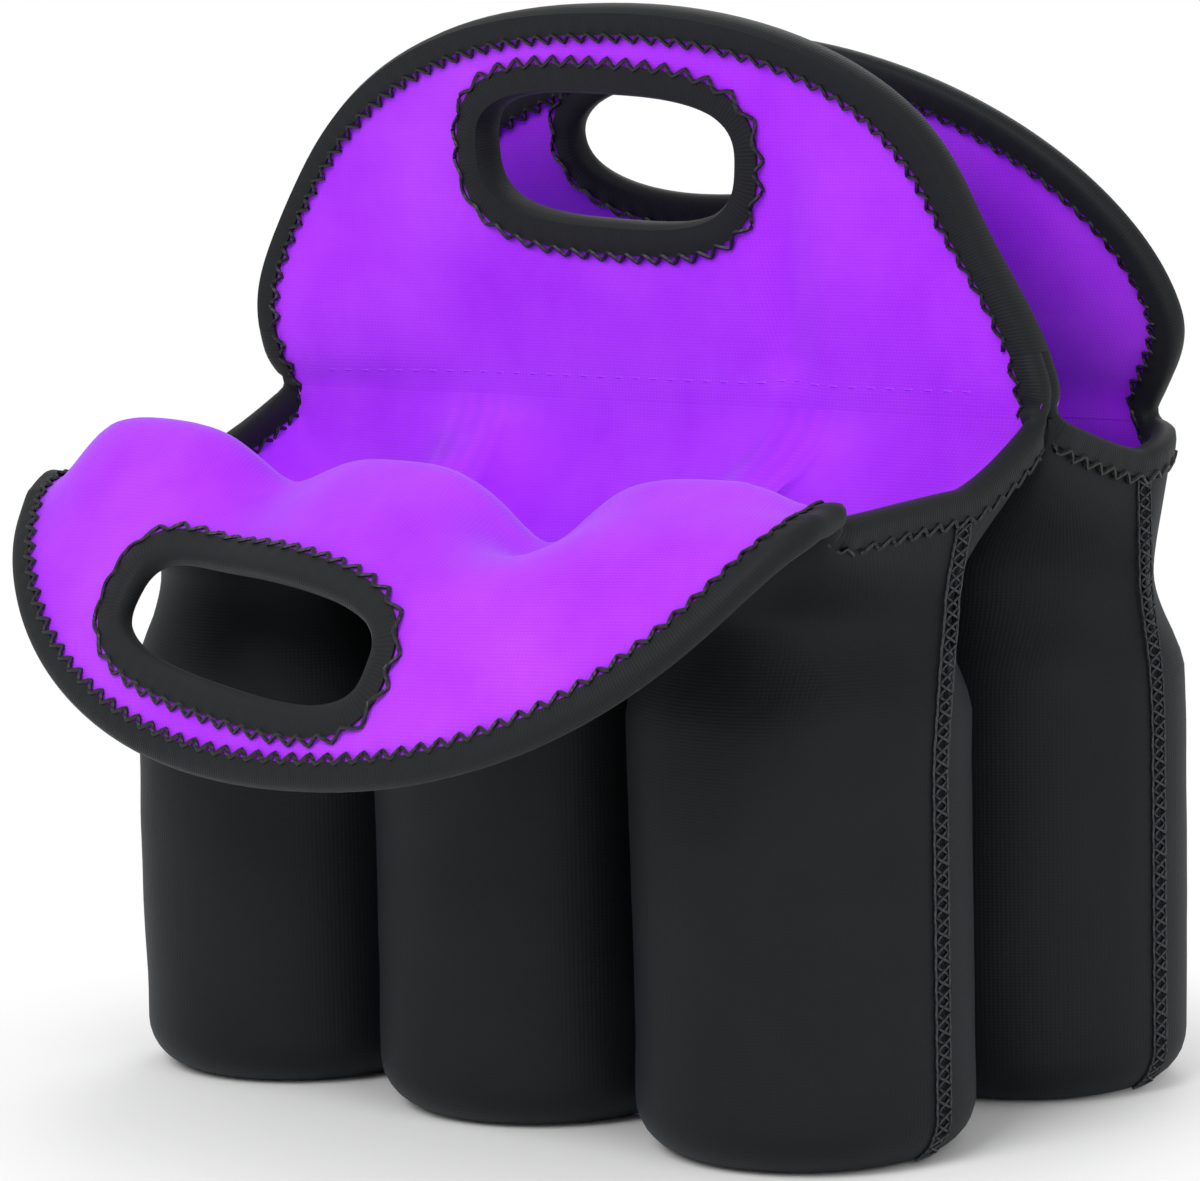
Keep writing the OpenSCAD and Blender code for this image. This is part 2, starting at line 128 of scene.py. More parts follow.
class Side(Enum):
    """The two ends of a row, by the sign of their place in X."""

    LEFT = -1
    RIGHT = 1


class Slot(Enum):
    """Material slots of the record."""

    BLACK = "black_neoprene"
    VIOLET = "violet_neoprene"
    BINDING = "binding_tape"
    THREAD = "sewing_thread"


def linear(code: str) -> tuple[float, float, float, float]:
    """Turn an sRGB hex colour to linear.

    Args:
        code: Colour such as "#a440ff".

    Returns:
        Red, green, blue and alpha, linear.
    """
    parts = [int(code[i : i + 2], 16) / 255 for i in (1, 3, 5)]
    r, g, b = [c / 12.92 if c <= 0.04045 else ((c + 0.055) / 1.055) ** 2.4 for c in parts]
    return (r, g, b, 1.0)


def fill(tree: bpy.types.NodeTree, node: bpy.types.Node, values: dict) -> None:
    """Set or link a node's inputs.

    Args:
        tree: Node tree that holds the node.
        node: Node to fill.
        values: Input name or index to a plain value, or to a socket to link from.
    """
    for key, value in values.items():
        if isinstance(value, bpy.types.NodeSocket):
            tree.links.new(value, node.inputs[key])
        else:
            node.inputs[key].default_value = value


def add_node(tree: bpy.types.NodeTree, kind: str, values: dict | None = None, **settings) -> bpy.types.Node:
    """Add one node with its settings, values and links.

    Args:
        tree: Node tree to add to.
        kind: Blender's name of the node type.
        values: Input name or index to a plain value, or to a socket to link from.
        **settings: Attributes of the node itself.

    Returns:
        The new node.
    """
    node = tree.nodes.new(kind)
    for key, value in settings.items():
        setattr(node, key, value)
    fill(tree, node, values or {})
    return node


def new_material(name: str) -> tuple[bpy.types.Material, bpy.types.NodeTree, bpy.types.Node]:
    """Make a plain material.

    Args:
        name: Common name of the real material.

    Returns:
        The material, its node tree and its shader.
    """
    material = bpy.data.materials.new(name)
    material.use_nodes = True
    return material, material.node_tree, material.node_tree.nodes["Principled BSDF"]


def deselect() -> None:
    """Leave object mode with nothing selected."""
    if bpy.context.object and bpy.context.object.mode != "OBJECT":
        bpy.ops.object.mode_set(mode="OBJECT")
    bpy.ops.object.select_all(action="DESELECT")


def pick(obj: bpy.types.Object) -> None:
    """Make one object the only selected object, and the active one.

    Args:
        obj: The object.
    """
    deselect()
    obj.select_set(True)
    bpy.context.view_layer.objects.active = obj


def edit(obj: bpy.types.Object, *steps: Callable[[], object]) -> None:
    """Run edit mode operators on the whole of a mesh.

    Args:
        obj: Object whose mesh is changed.
        *steps: Calls that are made in edit mode with everything selected.
    """
    pick(obj)
    bpy.ops.object.mode_set(mode="EDIT")
    for step in steps:
        bpy.ops.mesh.select_all(action="SELECT")
        step()
    bpy.ops.object.mode_set(mode="OBJECT")


def grid(name: str, nu: int, nv: int, place: Place, flat: Place, seam: bool = False) -> bpy.types.Object:
    """Shape a grid of faces into a sheet.

    Args:
        name: Name of the piece.
        nu: Number of faces along u.
        nv: Number of faces along v.
        place: Takes u and v from 0 to 1 and gives points in millimetres.
        flat: Takes u and v and gives the place on the flat cloth in millimetres.
        seam: Whether the sheet closes on itself, so that its doubles are merged.

    Returns:
        The new object.
    """
    deselect()
    bpy.ops.mesh.primitive_grid_add(x_subdivisions=nu, y_subdivisions=nv, size=2, calc_uvs=True)
    obj = bpy.context.object
    obj.name = name
    mesh = obj.data
    mesh.name = name
    count = len(mesh.vertices)
    if count != (nu + 1) * (nv + 1):
        raise ValueError(f"{name}: the grid has {count} points")
    co = np.empty(count * 3)
    mesh.vertices.foreach_get("co", co)
    u = np.round((co[0::3] + 1) / 2 * nu) / nu
    v = np.round((co[1::3] + 1) / 2 * nv) / nv
    mesh.vertices.foreach_set("co", (place(u, v) * MM).ravel())
    loops = np.empty(len(mesh.loops), dtype=np.int64)
    mesh.loops.foreach_get("vertex_index", loops)
    uv = (flat(u, v) * MM)[loops]
    mesh.uv_layers.active.data.foreach_set("uv", uv.ravel())
    if seam:
        edit(obj, lambda: bpy.ops.mesh.remove_doubles(threshold=1e-6))
    return obj


def modify(obj: bpy.types.Object, kind: str, **settings) -> None:
    """Add a modifier, set it and apply it.

    Args:
        obj: Object to finish.
        kind: Blender's name of the modifier type.
        **settings: Attributes of the modifier.
    """
    pick(obj)
    modifier = obj.modifiers.new(kind.title(), kind)
    for key, value in settings.items():
        setattr(modifier, key, value)
    bpy.ops.object.modifier_apply(modifier=modifier.name)


def thicken(obj: bpy.types.Object, thickness: float) -> None:
    """Give a sheet its thickness, half to each side.

    Args:
        obj: Sheet to thicken, whose second material, if it has one, is its back's.
        thickness: In millimetres.
    """
    modify(obj, "SOLIDIFY", thickness=thickness * MM, offset=0.0, use_even_offset=False, use_rim=True,
           material_offset=len(obj.data.materials) - 1)


def smooth(obj: bpy.types.Object, angle: float = 50.0) -> None:
    """Shade a piece smooth except at edges sharper than an angle in degrees."""
    pick(obj)
    bpy.ops.object.shade_smooth_by_angle(angle=math.radians(angle))


def ease(w: Array | float) -> Array | float:
    """Rise smoothly from 0 to 1 as w does."""
    w = np.clip(w, 0, 1)
    return w * w * (3 - 2 * w)


def mix(a: Array | float, b: Array | float, w: Array | float) -> Array | float:
    """Go from a to b as w goes from 0 to 1."""
    return a + (b - a) * w


def unit(vectors: Array) -> Array:
    """Scale each row to length 1."""
    return vectors / np.maximum(np.linalg.norm(vectors, axis=-1, keepdims=True), 1e-9)


def level(height: float) -> Callable[[Array], Array]:
    """Give a mouth that is level at a height."""
    return lambda x: np.full_like(x, height)


def hump(x: Array, middle: float, breadth: float) -> Array:
    """Smooth hump of height 1 about a middle."""
    return np.exp(-(((x - middle) / breadth) ** 2))


def distance_along(rows: Array) -> Array:
    """Distance run along a line at each of its points."""
    return np.concatenate([[0.0], np.cumsum(np.linalg.norm(np.diff(rows, axis=0), axis=1))])


def read_rows(where: Array, run: Array, rows: Array) -> Array:
    """Read a line's rows at some distances, between those in run."""
    return np.stack([np.interp(where, run, column) for column in rows.T], axis=1)


def evenly(rows: Array, count: int) -> Array:
    """Give a line a number of evenly spaced points."""
    run = distance_along(rows)
    return read_rows(np.linspace(0, run[-1], count), run, rows)


def rumple(points: Array, size: float, seed: float) -> Array:
    """Give soft unevenness at points.

    Args:
        points: Places in millimetres, one a row.
        size: Breadth of one hump in millimetres.
        seed: Where in the noise it starts.

    Returns:
        One value for each point, from about -1 to 1.
    """
    shift = Vector((seed, seed * 0.37, -seed))
    return np.array([noise.noise(Vector(p) / size + shift) for p in points.tolist()])


@dataclass(frozen=True)
class JerseyFinish:
    """Nylon jersey bonded to neoprene foam: matt, with fine wales and a short nap."""

    name: str
    face: str
    deep: str
    sheen_tint: str
    sheen: float
    roughness: float
    specular: float = 0.22
    wale_mm: float = 0.9
    course_mm: float = 0.7
    foam_mm: float = 6.25
    patch_mm: float = 45.45
    bump: float = 0.18

    def material(self) -> bpy.types.Material:
        """Make the material.

        Returns:
            Jersey whose wales follow the cloth's own flat places.
        """
        material, tree, shader = new_material(self.name)
        uv = add_node(tree, "ShaderNodeUVMap", uv_map="UVMap").outputs["UV"]
        place = add_node(tree, "ShaderNodeTexCoord").outputs["Object"]
        # Real loops of yarn lie about 0.5 mm apart, too fine to show, so they are drawn a little coarser
        yarn = {"Vector": uv, "Distortion": 0.6, "Detail": 0.0}
        wales = add_node(tree, "ShaderNodeTexWave", {**yarn, "Scale": BAND / self.wale_mm},
                         bands_direction="X")
        courses = add_node(tree, "ShaderNodeTexWave", {**yarn, "Scale": BAND / self.course_mm},
                           bands_direction="Y")
        knit = add_node(tree, "ShaderNodeMath", {0: wales.outputs["Fac"], 1: courses.outputs["Fac"]},
                        operation="MULTIPLY")
        # The foam under the jersey is a little uneven
        foam = add_node(tree, "ShaderNodeTexNoise", {"Vector": place, "Scale": 1 / (self.foam_mm * MM),
                        "Detail": 3.0})
        height = add_node(tree, "ShaderNodeMath", {0: knit.outputs[0], 1: foam.outputs["Fac"]},
                          operation="ADD")
        bump = add_node(tree, "ShaderNodeBump", {"Height": height.outputs[0], "Strength": self.bump,
                        "Distance": 0.35 * MM})
        # Its nap lies in broad patches that take the light a little differently
        patches = add_node(tree, "ShaderNodeTexNoise", {"Vector": place, "Scale": 1 / (self.patch_mm * MM),
                           "Detail": 4.0, "Roughness": 0.6})
        spread = add_node(tree, "ShaderNodeMapRange", {0: patches.outputs["Fac"], 1: 0.32, 2: 0.68})
        cloth = add_node(tree, "ShaderNodeMix", {"Factor": spread.outputs[0], 6: linear(self.deep),
                         7: linear(self.face)}, data_type="RGBA")
        shade = add_node(tree, "ShaderNodeMapRange", {0: knit.outputs[0], 3: 0.86, 4: 1.05})
        colour = add_node(tree, "ShaderNodeVectorMath", {0: cloth.outputs[2], "Scale": shade.outputs[0]},
                          operation="SCALE")
        fill(tree, shader, {"Base Color": colour.outputs[0], "Normal": bump.outputs[0],
                            "Roughness": self.roughness, "Specular IOR Level": self.specular,
                            "Sheen Weight": self.sheen, "Sheen Roughness": 0.45,
                            "Sheen Tint": linear(self.sheen_tint)})
        return material


@dataclass(frozen=True)
class TapeFinish:
    """Woven polyester binding: fine ribs across it and a dull shine."""

    name: str
    face: str
    # Colour in the grooves between the ribs: painted shade, darker than the face
    groove_shade: str
    rib_mm: float = 0.7
    warp_mm: float = 0.5
    roughness: float = 0.62

    def material(self) -> bpy.types.Material:
        """Make the material.

        Returns:
            Tape with ribs across its own length.
        """
        material, tree, shader = new_material(self.name)
        uv = add_node(tree, "ShaderNodeUVMap", uv_map="UVMap").outputs["UV"]
        ribs = add_node(tree, "ShaderNodeTexWave", {"Vector": uv, "Scale": BAND / self.rib_mm,
                        "Distortion": 0.8, "Detail": 1.0}, bands_direction="X")
        warp = add_node(tree, "ShaderNodeTexWave", {"Vector": uv, "Scale": BAND / self.warp_mm,
                        "Distortion": 0.4}, bands_direction="Y")
        height = add_node(tree, "ShaderNodeMath", {0: warp.outputs["Fac"], 1: 0.35, 2: ribs.outputs["Fac"]},
                          operation="MULTIPLY_ADD")
        bump = add_node(tree, "ShaderNodeBump", {"Height": height.outputs[0], "Strength": 0.22,
                        "Distance": 0.25 * MM})
        # The rib grooves get the darker colour: painted shade in the recesses of the weave
        colour = add_node(tree, "ShaderNodeMix", {"Factor": ribs.outputs["Fac"], 6: linear(self.groove_shade),
                          7: linear(self.face)}, data_type="RGBA")
        fill(tree, shader, {"Base Color": colour.outputs[2], "Normal": bump.outputs[0],
                            "Roughness": self.roughness, "Specular IOR Level": 0.22, "Sheen Weight": 0.05})
        return material


@dataclass(frozen=True)
class ThreadFinish:
    """Bulked nylon sewing thread, twisted, a little glossier than the cloth."""

    name: str
    face: str
    # Colour in the grooves of the twist: painted shade, darker than the face
    groove_shade: str
    twist_mm: float = 0.8
    roughness: float = 0.5

    def material(self) -> bpy.types.Material:
        """Make the material.

        Returns:
            Thread whose twist slants along its own length.
        """
        material, tree, shader = new_material(self.name)
        uv = add_node(tree, "ShaderNodeUVMap", uv_map="UVMap").outputs["UV"]
        twist = add_node(tree, "ShaderNodeTexWave", {"Vector": uv, "Scale": BAND / self.twist_mm,
                         "Distortion": 0.3}, bands_direction="DIAGONAL")
        bump = add_node(tree, "ShaderNodeBump", {"Height": twist.outputs["Fac"], "Strength": 0.5,
                        "Distance": 0.15 * MM})
        # The twist's grooves get the darker colour: painted shade between the strands
        colour = add_node(tree, "ShaderNodeMix", {"Factor": twist.outputs["Fac"], 6: linear(self.groove_shade),
                          7: linear(self.face)}, data_type="RGBA")
        fill(tree, shader, {"Base Color": colour.outputs[2], "Normal": bump.outputs[0],
                            "Roughness": self.roughness})
        return material


@dataclass
class Finishes:
    """Every material of the carrier, made once."""

    black: bpy.types.Material
    violet: bpy.types.Material
    binding: bpy.types.Material
    thread: bpy.types.Material
    violet_thread: bpy.types.Material
    seam_thread: bpy.types.Material

    @classmethod
    def make(cls) -> "Finishes":
        """Make all the finishes.

        Returns:
            The finishes, whose blacks lie a few levels above black, as dyed cloth does.
        """
        return cls(
            # Dyed knit over foam: a flat, deep black, with a faint cool bloom where it turns away
            black=JerseyFinish("Black nylon jersey on neoprene", "#0d1215", "#080b0d", "#3c5068",
                               sheen=0.12, roughness=0.60).material(),
            # The same knit, dyed bright: full colour face on, with a pale bloom at the rolled edges
            violet=JerseyFinish("Violet nylon jersey on neoprene", "#b63aff", "#a51ef6", "#f0d2ff",
                                sheen=0.30, roughness=0.70).material(),
            # Woven tape: a smoother black than the knit, which shows a soft line of light on its fold
            binding=TapeFinish("Black woven polyester binding", "#101417", "#07090b").material(),
            # Twisted filament: small points of light on each slanting stitch
            thread=ThreadFinish("Black nylon thread", "#090b0c", "#040505").material(),
            # Thread of the cloth's own colour: stitches that hardly show
            violet_thread=ThreadFinish("Violet nylon thread", "#a82cf4", "#981ee4").material(),
            # Thick bulked thread: a grey line that stands out from the black cloth
            seam_thread=ThreadFinish("Charcoal bulked nylon thread", "#262b30", "#14171a").material(),
        )


@dataclass
class Band:
    """A line along a sheet's edge with its own directions.

    Fields hold one row for each place on the line: the place itself, the way out
    of the sheet's edge, and the sheet's normal. The distance run is worked out.
    """

    line: Array
    out: Array
    normal: Array
    run: Array = field(init=False)

    def __post_init__(self) -> None:
        """Measure the distance run along the line."""
        self.run = distance_along(self.line)

    @property
    def length(self) -> float:
        """Length of the line."""
        return float(self.run[-1])

    def at(self, run: Array, e: Array, n: Array) -> Array:
        """Give points beside the line.

        Args:
            run: Distances along the line.
            e: Distances out of the edge.
            n: Distances off the sheet's middle.

        Returns:
            Points in millimetres.
        """
        line, out, normal = (read_rows(run, self.run, rows) for rows in (self.line, self.out, self.normal))
        return line + unit(out) * e[:, None] + unit(normal) * n[:, None]


@dataclass
class Edge:
    """Edges sewn end to end, for one tape that turns their corners softly.

    Each part is a placing and its length. The tape runs from start to stop, and
    turns are the places along the parts where they meet at a corner.
    """

    parts: list[tuple[Placing, float]]
    start: float
    stop: float
    turns: tuple[float, ...] = ()
    turn_reach: float = 7.0
    turn_breadth: float = 9.0

    @property
    def length(self) -> float:
        """Length of the tape."""
        return self.stop - self.start

    def raw(self, run: Array, e: Array, n: Array) -> Array:
        """Place beside the parts as they are.

        Args:
            run: Distances along the parts.
            e: Distances out of the edge.
            n: Distances off the cloth's middle.

        Returns:
            Points in millimetres.
        """
        points = np.zeros((len(run), 3))
        low = 0.0
        for number, (part, length) in enumerate(self.parts):
            here = (run >= low) | (number == 0)
            here &= (run < low + length) | (number == len(self.parts) - 1)
            if here.any():
                points[here] = part(run[here] - low, e[here], n[here])
            low += length
        return points

    def place(self, run: Array, e: Array, n: Array) -> Array:
        """Place beside the tape's line, averaged along it near each corner.

        Args:
            run: Distances along the tape.
            e: Distances out of the edge.
            n: Distances off the cloth's middle.

        Returns:
            Points in millimetres.
        """
        at = run + self.start
        humps = (self.turn_reach * hump(at, turn, self.turn_breadth) for turn in self.turns)
        reach = sum(humps, np.zeros(len(at)))
        steps = ((-1.0, 1), (-0.5, 4), (0.0, 6), (0.5, 4), (1.0, 1))
        total = sum(share * self.raw(at + step * reach, e, n) for step, share in steps)
        return total / sum(share for _, share in steps)


def tape(name: str, place: Placing, length: float, half: float, width: float, finishes: Finishes,
         closed: bool = False) -> bpy.types.Object:
    """Fold a binding tape over an edge.

    Args:
        name: Name of the piece.
        place: Takes distance run, distance out and distance off, and gives points.
        length: Length of the edge in millimetres.
        half: Half the thickness of what it covers.
        width: Width of the tape on each face.
        finishes: The carrier's materials.
        closed: Whether the tape goes round a slot.

    Returns:
        The finished tape.
    """
    off = half + TAPE_THICK / 2 + TAPE_SLACK
    section = [(-share * width, off + lift) for share, lift in TAPE_FACE]
    section += [(e, off * share) for e, share in TAPE_FOLD]
    section += [(e, -n) for e, n in section[-2::-1]]
    outs, offs = np.array(section).T
    across = distance_along(np.array(section))
    nv = len(section) - 1
    per_stitch = 4
    nu = max(8, round(length / STITCH * per_stitch))

    def shape(u: Array, v: Array) -> Array:
        """Place the tape, drawn in a little at each stitch.

        Args:
            u: Shares of the way along it.
            v: Shares of the way across it.

        Returns:
            Points in millimetres.
        """
        i = np.round(v * nv).astype(int)
        run = u * length
        pull = 0.5 + 0.5 * np.cos(2 * math.pi * run / STITCH)
        at_edge = np.abs(outs[i]) / width
        e = outs[i] + TAPE_DRAW * pull * at_edge
        n = offs[i] - np.sign(offs[i]) * TAPE_PRESS * pull * at_edge
        return place(run, e, n)

    def flat(u: Array, v: Array) -> Array:
        """Place on the flat tape."""
        return np.stack([u * length, across[np.round(v * nv).astype(int)]], 1)

    obj = grid(name, nu, nv, shape, flat, seam=closed)
    obj.data.materials.append(finishes.binding)
    edit(obj, lambda: bpy.ops.mesh.normals_make_consistent(inside=False))
    thicken(obj, TAPE_THICK)
    smooth(obj)
    return obj


def thread(name: str, paths: list[Array], radius: float, material: bpy.types.Material) -> bpy.types.Object:
    """Lay lengths of thread along paths, joined as one piece.

    Args:
        name: Name of the piece.
        paths: Each an array of points in millimetres.
        radius: Half the thread's thickness.
        material: The thread's material.

    Returns:
        The finished thread.
    """
    # A fixed way that no path follows, so that the thread's skin doesn't twist
    helper = np.array([0.31, -0.12, 0.94])
    made = []
    for path in paths:
        tangent = unit(np.gradient(path, axis=0))
        first = unit(np.cross(tangent, helper))
        second = np.cross(tangent, first)
        run = distance_along(path)
        nu = len(path) - 1

        def shape(u: Array, v: Array) -> Array:
            """Place the thread's round skin.

            Args:
                u: Shares of the way along it.
                v: Shares of the way round it.

            Returns:
                Points in millimetres.
            """
            i = np.round(u * nu).astype(int)
            angle = 2 * math.pi * v
            return path[i] + radius * (first[i] * np.cos(angle)[:, None] + second[i] * np.sin(angle)[:, None])

        def flat(u: Array, v: Array) -> Array:
            """Place on the unrolled skin."""
            return np.stack([run[np.round(u * nu).astype(int)], v * 2 * math.pi * radius], 1)

        obj = grid(name, nu, THREAD_SIDES, shape, flat, seam=True)
        edit(obj, lambda: bpy.ops.mesh.fill_holes(sides=THREAD_SIDES),
             lambda: bpy.ops.mesh.normals_make_consistent(inside=False))
        made.append(obj)
    whole = made[0]
    pick(whole)
    for obj in made[1:]:
        obj.select_set(True)
    if len(made) > 1:
        bpy.ops.object.join()
    whole.name = name
    whole.data.materials.append(material)
    smooth(whole, 60.0)
    return whole


def zigzag(place: Placing, start: float, length: float, low: tuple[float, float],
           high: tuple[float, float]) -> Array:
    """Path of a zigzag stitch along an edge.

    Args:
        place: Takes distance run, distance out and distance off, and gives points.
        start: Where along the edge the stitch starts.
        length: How far it runs.
        low: Distance out and off at the inner points.
        high: Distance out and off at the outer points.

    Returns:
        Points of the thread's middle in millimetres.
    """
    count = max(2, round(length / STITCH * 2))
    per_leg = 4
    t = np.linspace(0, count, count * per_leg + 1)
    swing = np.abs((t % 2) - 1)
    # Half way between straight legs and waves, each leg a little raised in its middle
    swing = mix(swing, ease(swing), 0.5)
    raised = 0.12 * np.sin(math.pi * (t % 1))
    e = mix(high[0], low[0], swing)
    n = mix(high[1], low[1], swing) + np.sign(low[1]) * raised
    return place(start + t / count * length, e, n)


def stitch_paths(place: Placing, start: float, length: float, width: float, half: float) -> list[Array]:
    """Paths of the zigzags that hold a tape, one on each face.

    Args:
        place: Takes distance run, distance out and distance off, and gives points.
        start: Where along the edge the stitches start.
        length: How far they run.
        width: The tape's width.
        half: Half the thickness of what it covers.

    Returns:
        The paths on the back and on the front.
    """
    # The zigzag steps from the cloth beside the tape up onto the tape's own edge
    inner, outer = -width - 1.5, -width + 0.5
    return [zigzag(place, start, length, (inner, face * (half + 0.38)), (outer, face * (half + 1.2)))
            for face in (-1, 1)]


def dash(length: float, lift: float) -> tuple[Array, Array]:
    """Give one running stitch, whose ends dip into the cloth.

    Args:
        length: Length of the stitch.
        lift: Height of its middle off the cloth.

    Returns:
        Distances along it and heights off the cloth.
    """
    t = np.linspace(0, length, 5)
    return t, lift - 0.35 * np.abs(2 * t / length - 1) ** 3


@dataclass
class SlottedSheet:
    """Half-round cloth with a hand slot, described on the flat.

    A point on the cloth is (a, l): across from the middle, and up from the root.
    """

    half_w: float
    root_half: float
    rise: float
    length: float
    roundness: float
    slot_a: float
    slot_from_tip: float
    slot_turn: float
    slot_half_l: float = 34.5
    slot_half_w: float = 14.5
    slot_power: float = 2.9

    def curve(self, a: Array, l: Array) -> Array:
        """Middle of the cloth in space; each kind of sheet gives its own."""
        raise NotImplementedError

    def at(self, a: Array, l: Array, depth: Array) -> Array:
        """Point of the cloth at a depth along its normal.

        Args:
            a: Distances across.
            l: Distances from the root.
            depth: Distances from the cloth's middle.

        Returns:
            Points in millimetres.
        """
        h = 0.6
        across = self.curve(a + h, l) - self.curve(a - h, l)
        along = self.curve(a, l + h) - self.curve(a, l - h)
        return self.curve(a, l) + unit(np.cross(across, along)) * np.asarray(depth)[:, None]

    def outline(self, count: int) -> Array:
        """Open outline from the right root round the tip to the left root.

        Args:
            count: Number of points.

        Returns:
            Evenly spaced (a, l) rows.
        """
        t = np.linspace(0, math.pi, 721)
        power = 2 / self.roundness
        a = self.half_w * np.sign(np.cos(t)) * np.abs(np.cos(t)) ** power
        l = self.rise + (self.length - self.rise) * np.sin(t) ** power
        s = np.linspace(0, 1, 60)[:-1]
        foot_a = mix(self.root_half, self.half_w, np.sin(s * math.pi / 2) ** 1.2)
        foot_l = self.rise * s
        return evenly(np.concatenate([np.stack([foot_a, foot_l], 1), np.stack([a, l], 1),
                                      np.stack([-foot_a, foot_l], 1)[::-1]]), count)

    def slot_centre(self) -> Array:
        """Middle of the slot on the flat."""
        return np.array([self.slot_a, self.length - self.slot_from_tip])

    def slot_ray(self, way: Array) -> Array:
        """Points of the slot's outline in given directions.

        Args:
            way: Directions from the slot's middle, one a row.

        Returns:
            (a, l) rows.
        """
        c, s = math.cos(self.slot_turn), math.sin(self.slot_turn)
        x = way[:, 0] * c + way[:, 1] * s
        y = -way[:, 0] * s + way[:, 1] * c
        # A rounded box, as a smooth power curve that is squarer along its length
        p = self.slot_power
        reach = (np.abs(x / self.slot_half_l) ** p + np.abs(y / self.slot_half_w) ** p) ** (-1 / p)
        return self.slot_centre() + np.stack([(x * c - y * s) * reach, (x * s + y * c) * reach], 1)

    def slot_line(self, count: int) -> Array:
        """Closed outline of the slot, evenly spaced, the first point repeated at the end."""
        angle = np.linspace(0, 2 * math.pi, 1441)
        return evenly(self.slot_ray(np.stack([np.cos(angle), np.sin(angle)], 1)), count)

    def flat_area(self) -> float:
        """Area of the flat cloth without its slot.

        Returns:
            Square metres.
        """
        def area(rows: Array) -> float:
            """Area inside a closed line."""
            x, y = rows.T
            return abs(float(np.dot(x, np.roll(y, 1)) - np.dot(y, np.roll(x, 1)))) / 2

        return (area(self.outline(400)) - area(self.slot_line(200)[:-1])) * MM * MM

    def shell(self, name: str, depth: float, front: bpy.types.Material,
              back: bpy.types.Material) -> bpy.types.Object:
        """Build the cloth as rings from the slot to the outline.

        Args:
            name: Name of the piece.
            depth: Where its middle lies along the normal.
            front: Material of the face on the side of the rings' normal.
            back: Material of the other face.

        Returns:
            The finished cloth.
        """
        around, rings = 264, 22
        edge = self.outline(1200)
        foot = np.stack([np.linspace(edge[-1, 0], edge[0, 0], 500), np.zeros(500)], 1)
        ring = np.concatenate([edge, foot[1:]])
        run = distance_along(ring)

        def flat(u: Array, v: Array) -> Array:
            """Place on the flat cloth, with rings a little closer at the outline.

            Args:
                u: Shares of the way round.
                v: Shares of the way from the slot to the outline.

            Returns:
                (a, l) rows.
            """
            outer = read_rows(u % 1.0 * run[-1], run, ring)
            inner = self.slot_ray(unit(outer - self.slot_centre()))
            return mix(inner, outer, (v**0.92)[:, None])

        def shape(u: Array, v: Array) -> Array:
            """Place in space."""
            rows = flat(u, v)
            return self.at(rows[:, 0], rows[:, 1], np.full(len(rows), depth))

        obj = grid(name, around, rings, shape, flat, seam=True)
        obj.data.materials.append(front)
        obj.data.materials.append(back)
        thicken(obj, FOAM)
        smooth(obj, 60.0)
        return obj

    def edge_place(self, closed: bool) -> tuple[Placing, float]:
        """Make the placing of trim along the outline or round the slot.

        Args:
            closed: Round the slot, and not along the outline.

        Returns:
            The placing and the edge's length.
        """
        rows = self.slot_line(721) if closed else self.outline(721)
        if closed:
            ahead = np.roll(rows[:-1], -1, axis=0) - np.roll(rows[:-1], 1, axis=0)
            ahead = np.concatenate([ahead, ahead[:1]])
        else:
            ahead = np.gradient(rows, axis=0)
        ahead = unit(ahead)
        turn = -1.0 if closed else 1.0
        out = np.stack([ahead[:, 1], -ahead[:, 0]], 1) * turn
        run = distance_along(rows)

        def place(distance: Array, e: Array, n: Array) -> Array:
            """Place on the cloth beside the edge.

            Args:
                distance: Distances along the edge.
                e: Distances out of the edge.
                n: Distances off the cloth's middle.

            Returns:
                Points in millimetres.
            """
            where = np.mod(distance, run[-1]) if closed else np.clip(distance, 0, run[-1])
            spot = read_rows(where, run, rows) + unit(read_rows(where, run, out)) * e[:, None]
            return self.at(spot[:, 0], spot[:, 1], n)

        return place, float(run[-1])

    def trim(self, prefix: str, half: float, edge: Edge, finishes: Finishes) -> list[bpy.types.Object]:
        """Sew the tapes and their stitches on.

        Args:
            prefix: Start of the pieces' names.
            half: Half the thickness of the cloth that is bound.
            edge: The line that the edge tape follows.
            finishes: The carrier's materials.

        Returns:
            Edge tape, slot tape, edge stitches and slot stitches.
        """
        round_slot, slot_length = self.edge_place(True)
        edge_tape = tape(f"{prefix}_edge_binding", edge.place, edge.length, half, TAPE_W, finishes)
        slot_tape = tape(f"{prefix}_slot_binding", round_slot, slot_length, half, SLOT_TAPE_W, finishes, True)
        edge_paths = stitch_paths(edge.place, 1.0, edge.length - 2.0, TAPE_W, half)
        slot_paths = stitch_paths(round_slot, 0.0, slot_length, SLOT_TAPE_W, half)
        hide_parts(f"{prefix}_tape")
        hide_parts(f"{prefix}_slot_tape")
        return [edge_tape, slot_tape,
                thread(f"{prefix}_edge_stitches", edge_paths, THREAD_R, finishes.thread),
                thread(f"{prefix}_slot_stitches", slot_paths, THREAD_R, finishes.thread)]

    def flat_size(self) -> tuple[float, float]:
        """Width and length of the flat cloth in metres."""
        return (2 * self.half_w * MM, self.length * MM)


def fasten(pieces: list[bpy.types.Object], body: str, bend: Bend) -> None:
    """Bake each piece's place into its mesh, and log it with the body that turns on the carrier.

    Args:
        pieces: Cloth and trim.
        body: The body that turns.
        bend: Where the bend starts and ends; not used.
    """
    for piece in pieces:
        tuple(bend[0])
        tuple(bend[1])
        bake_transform(piece)
        LOG.info("piece %s on carrier and %s", piece.name, body)


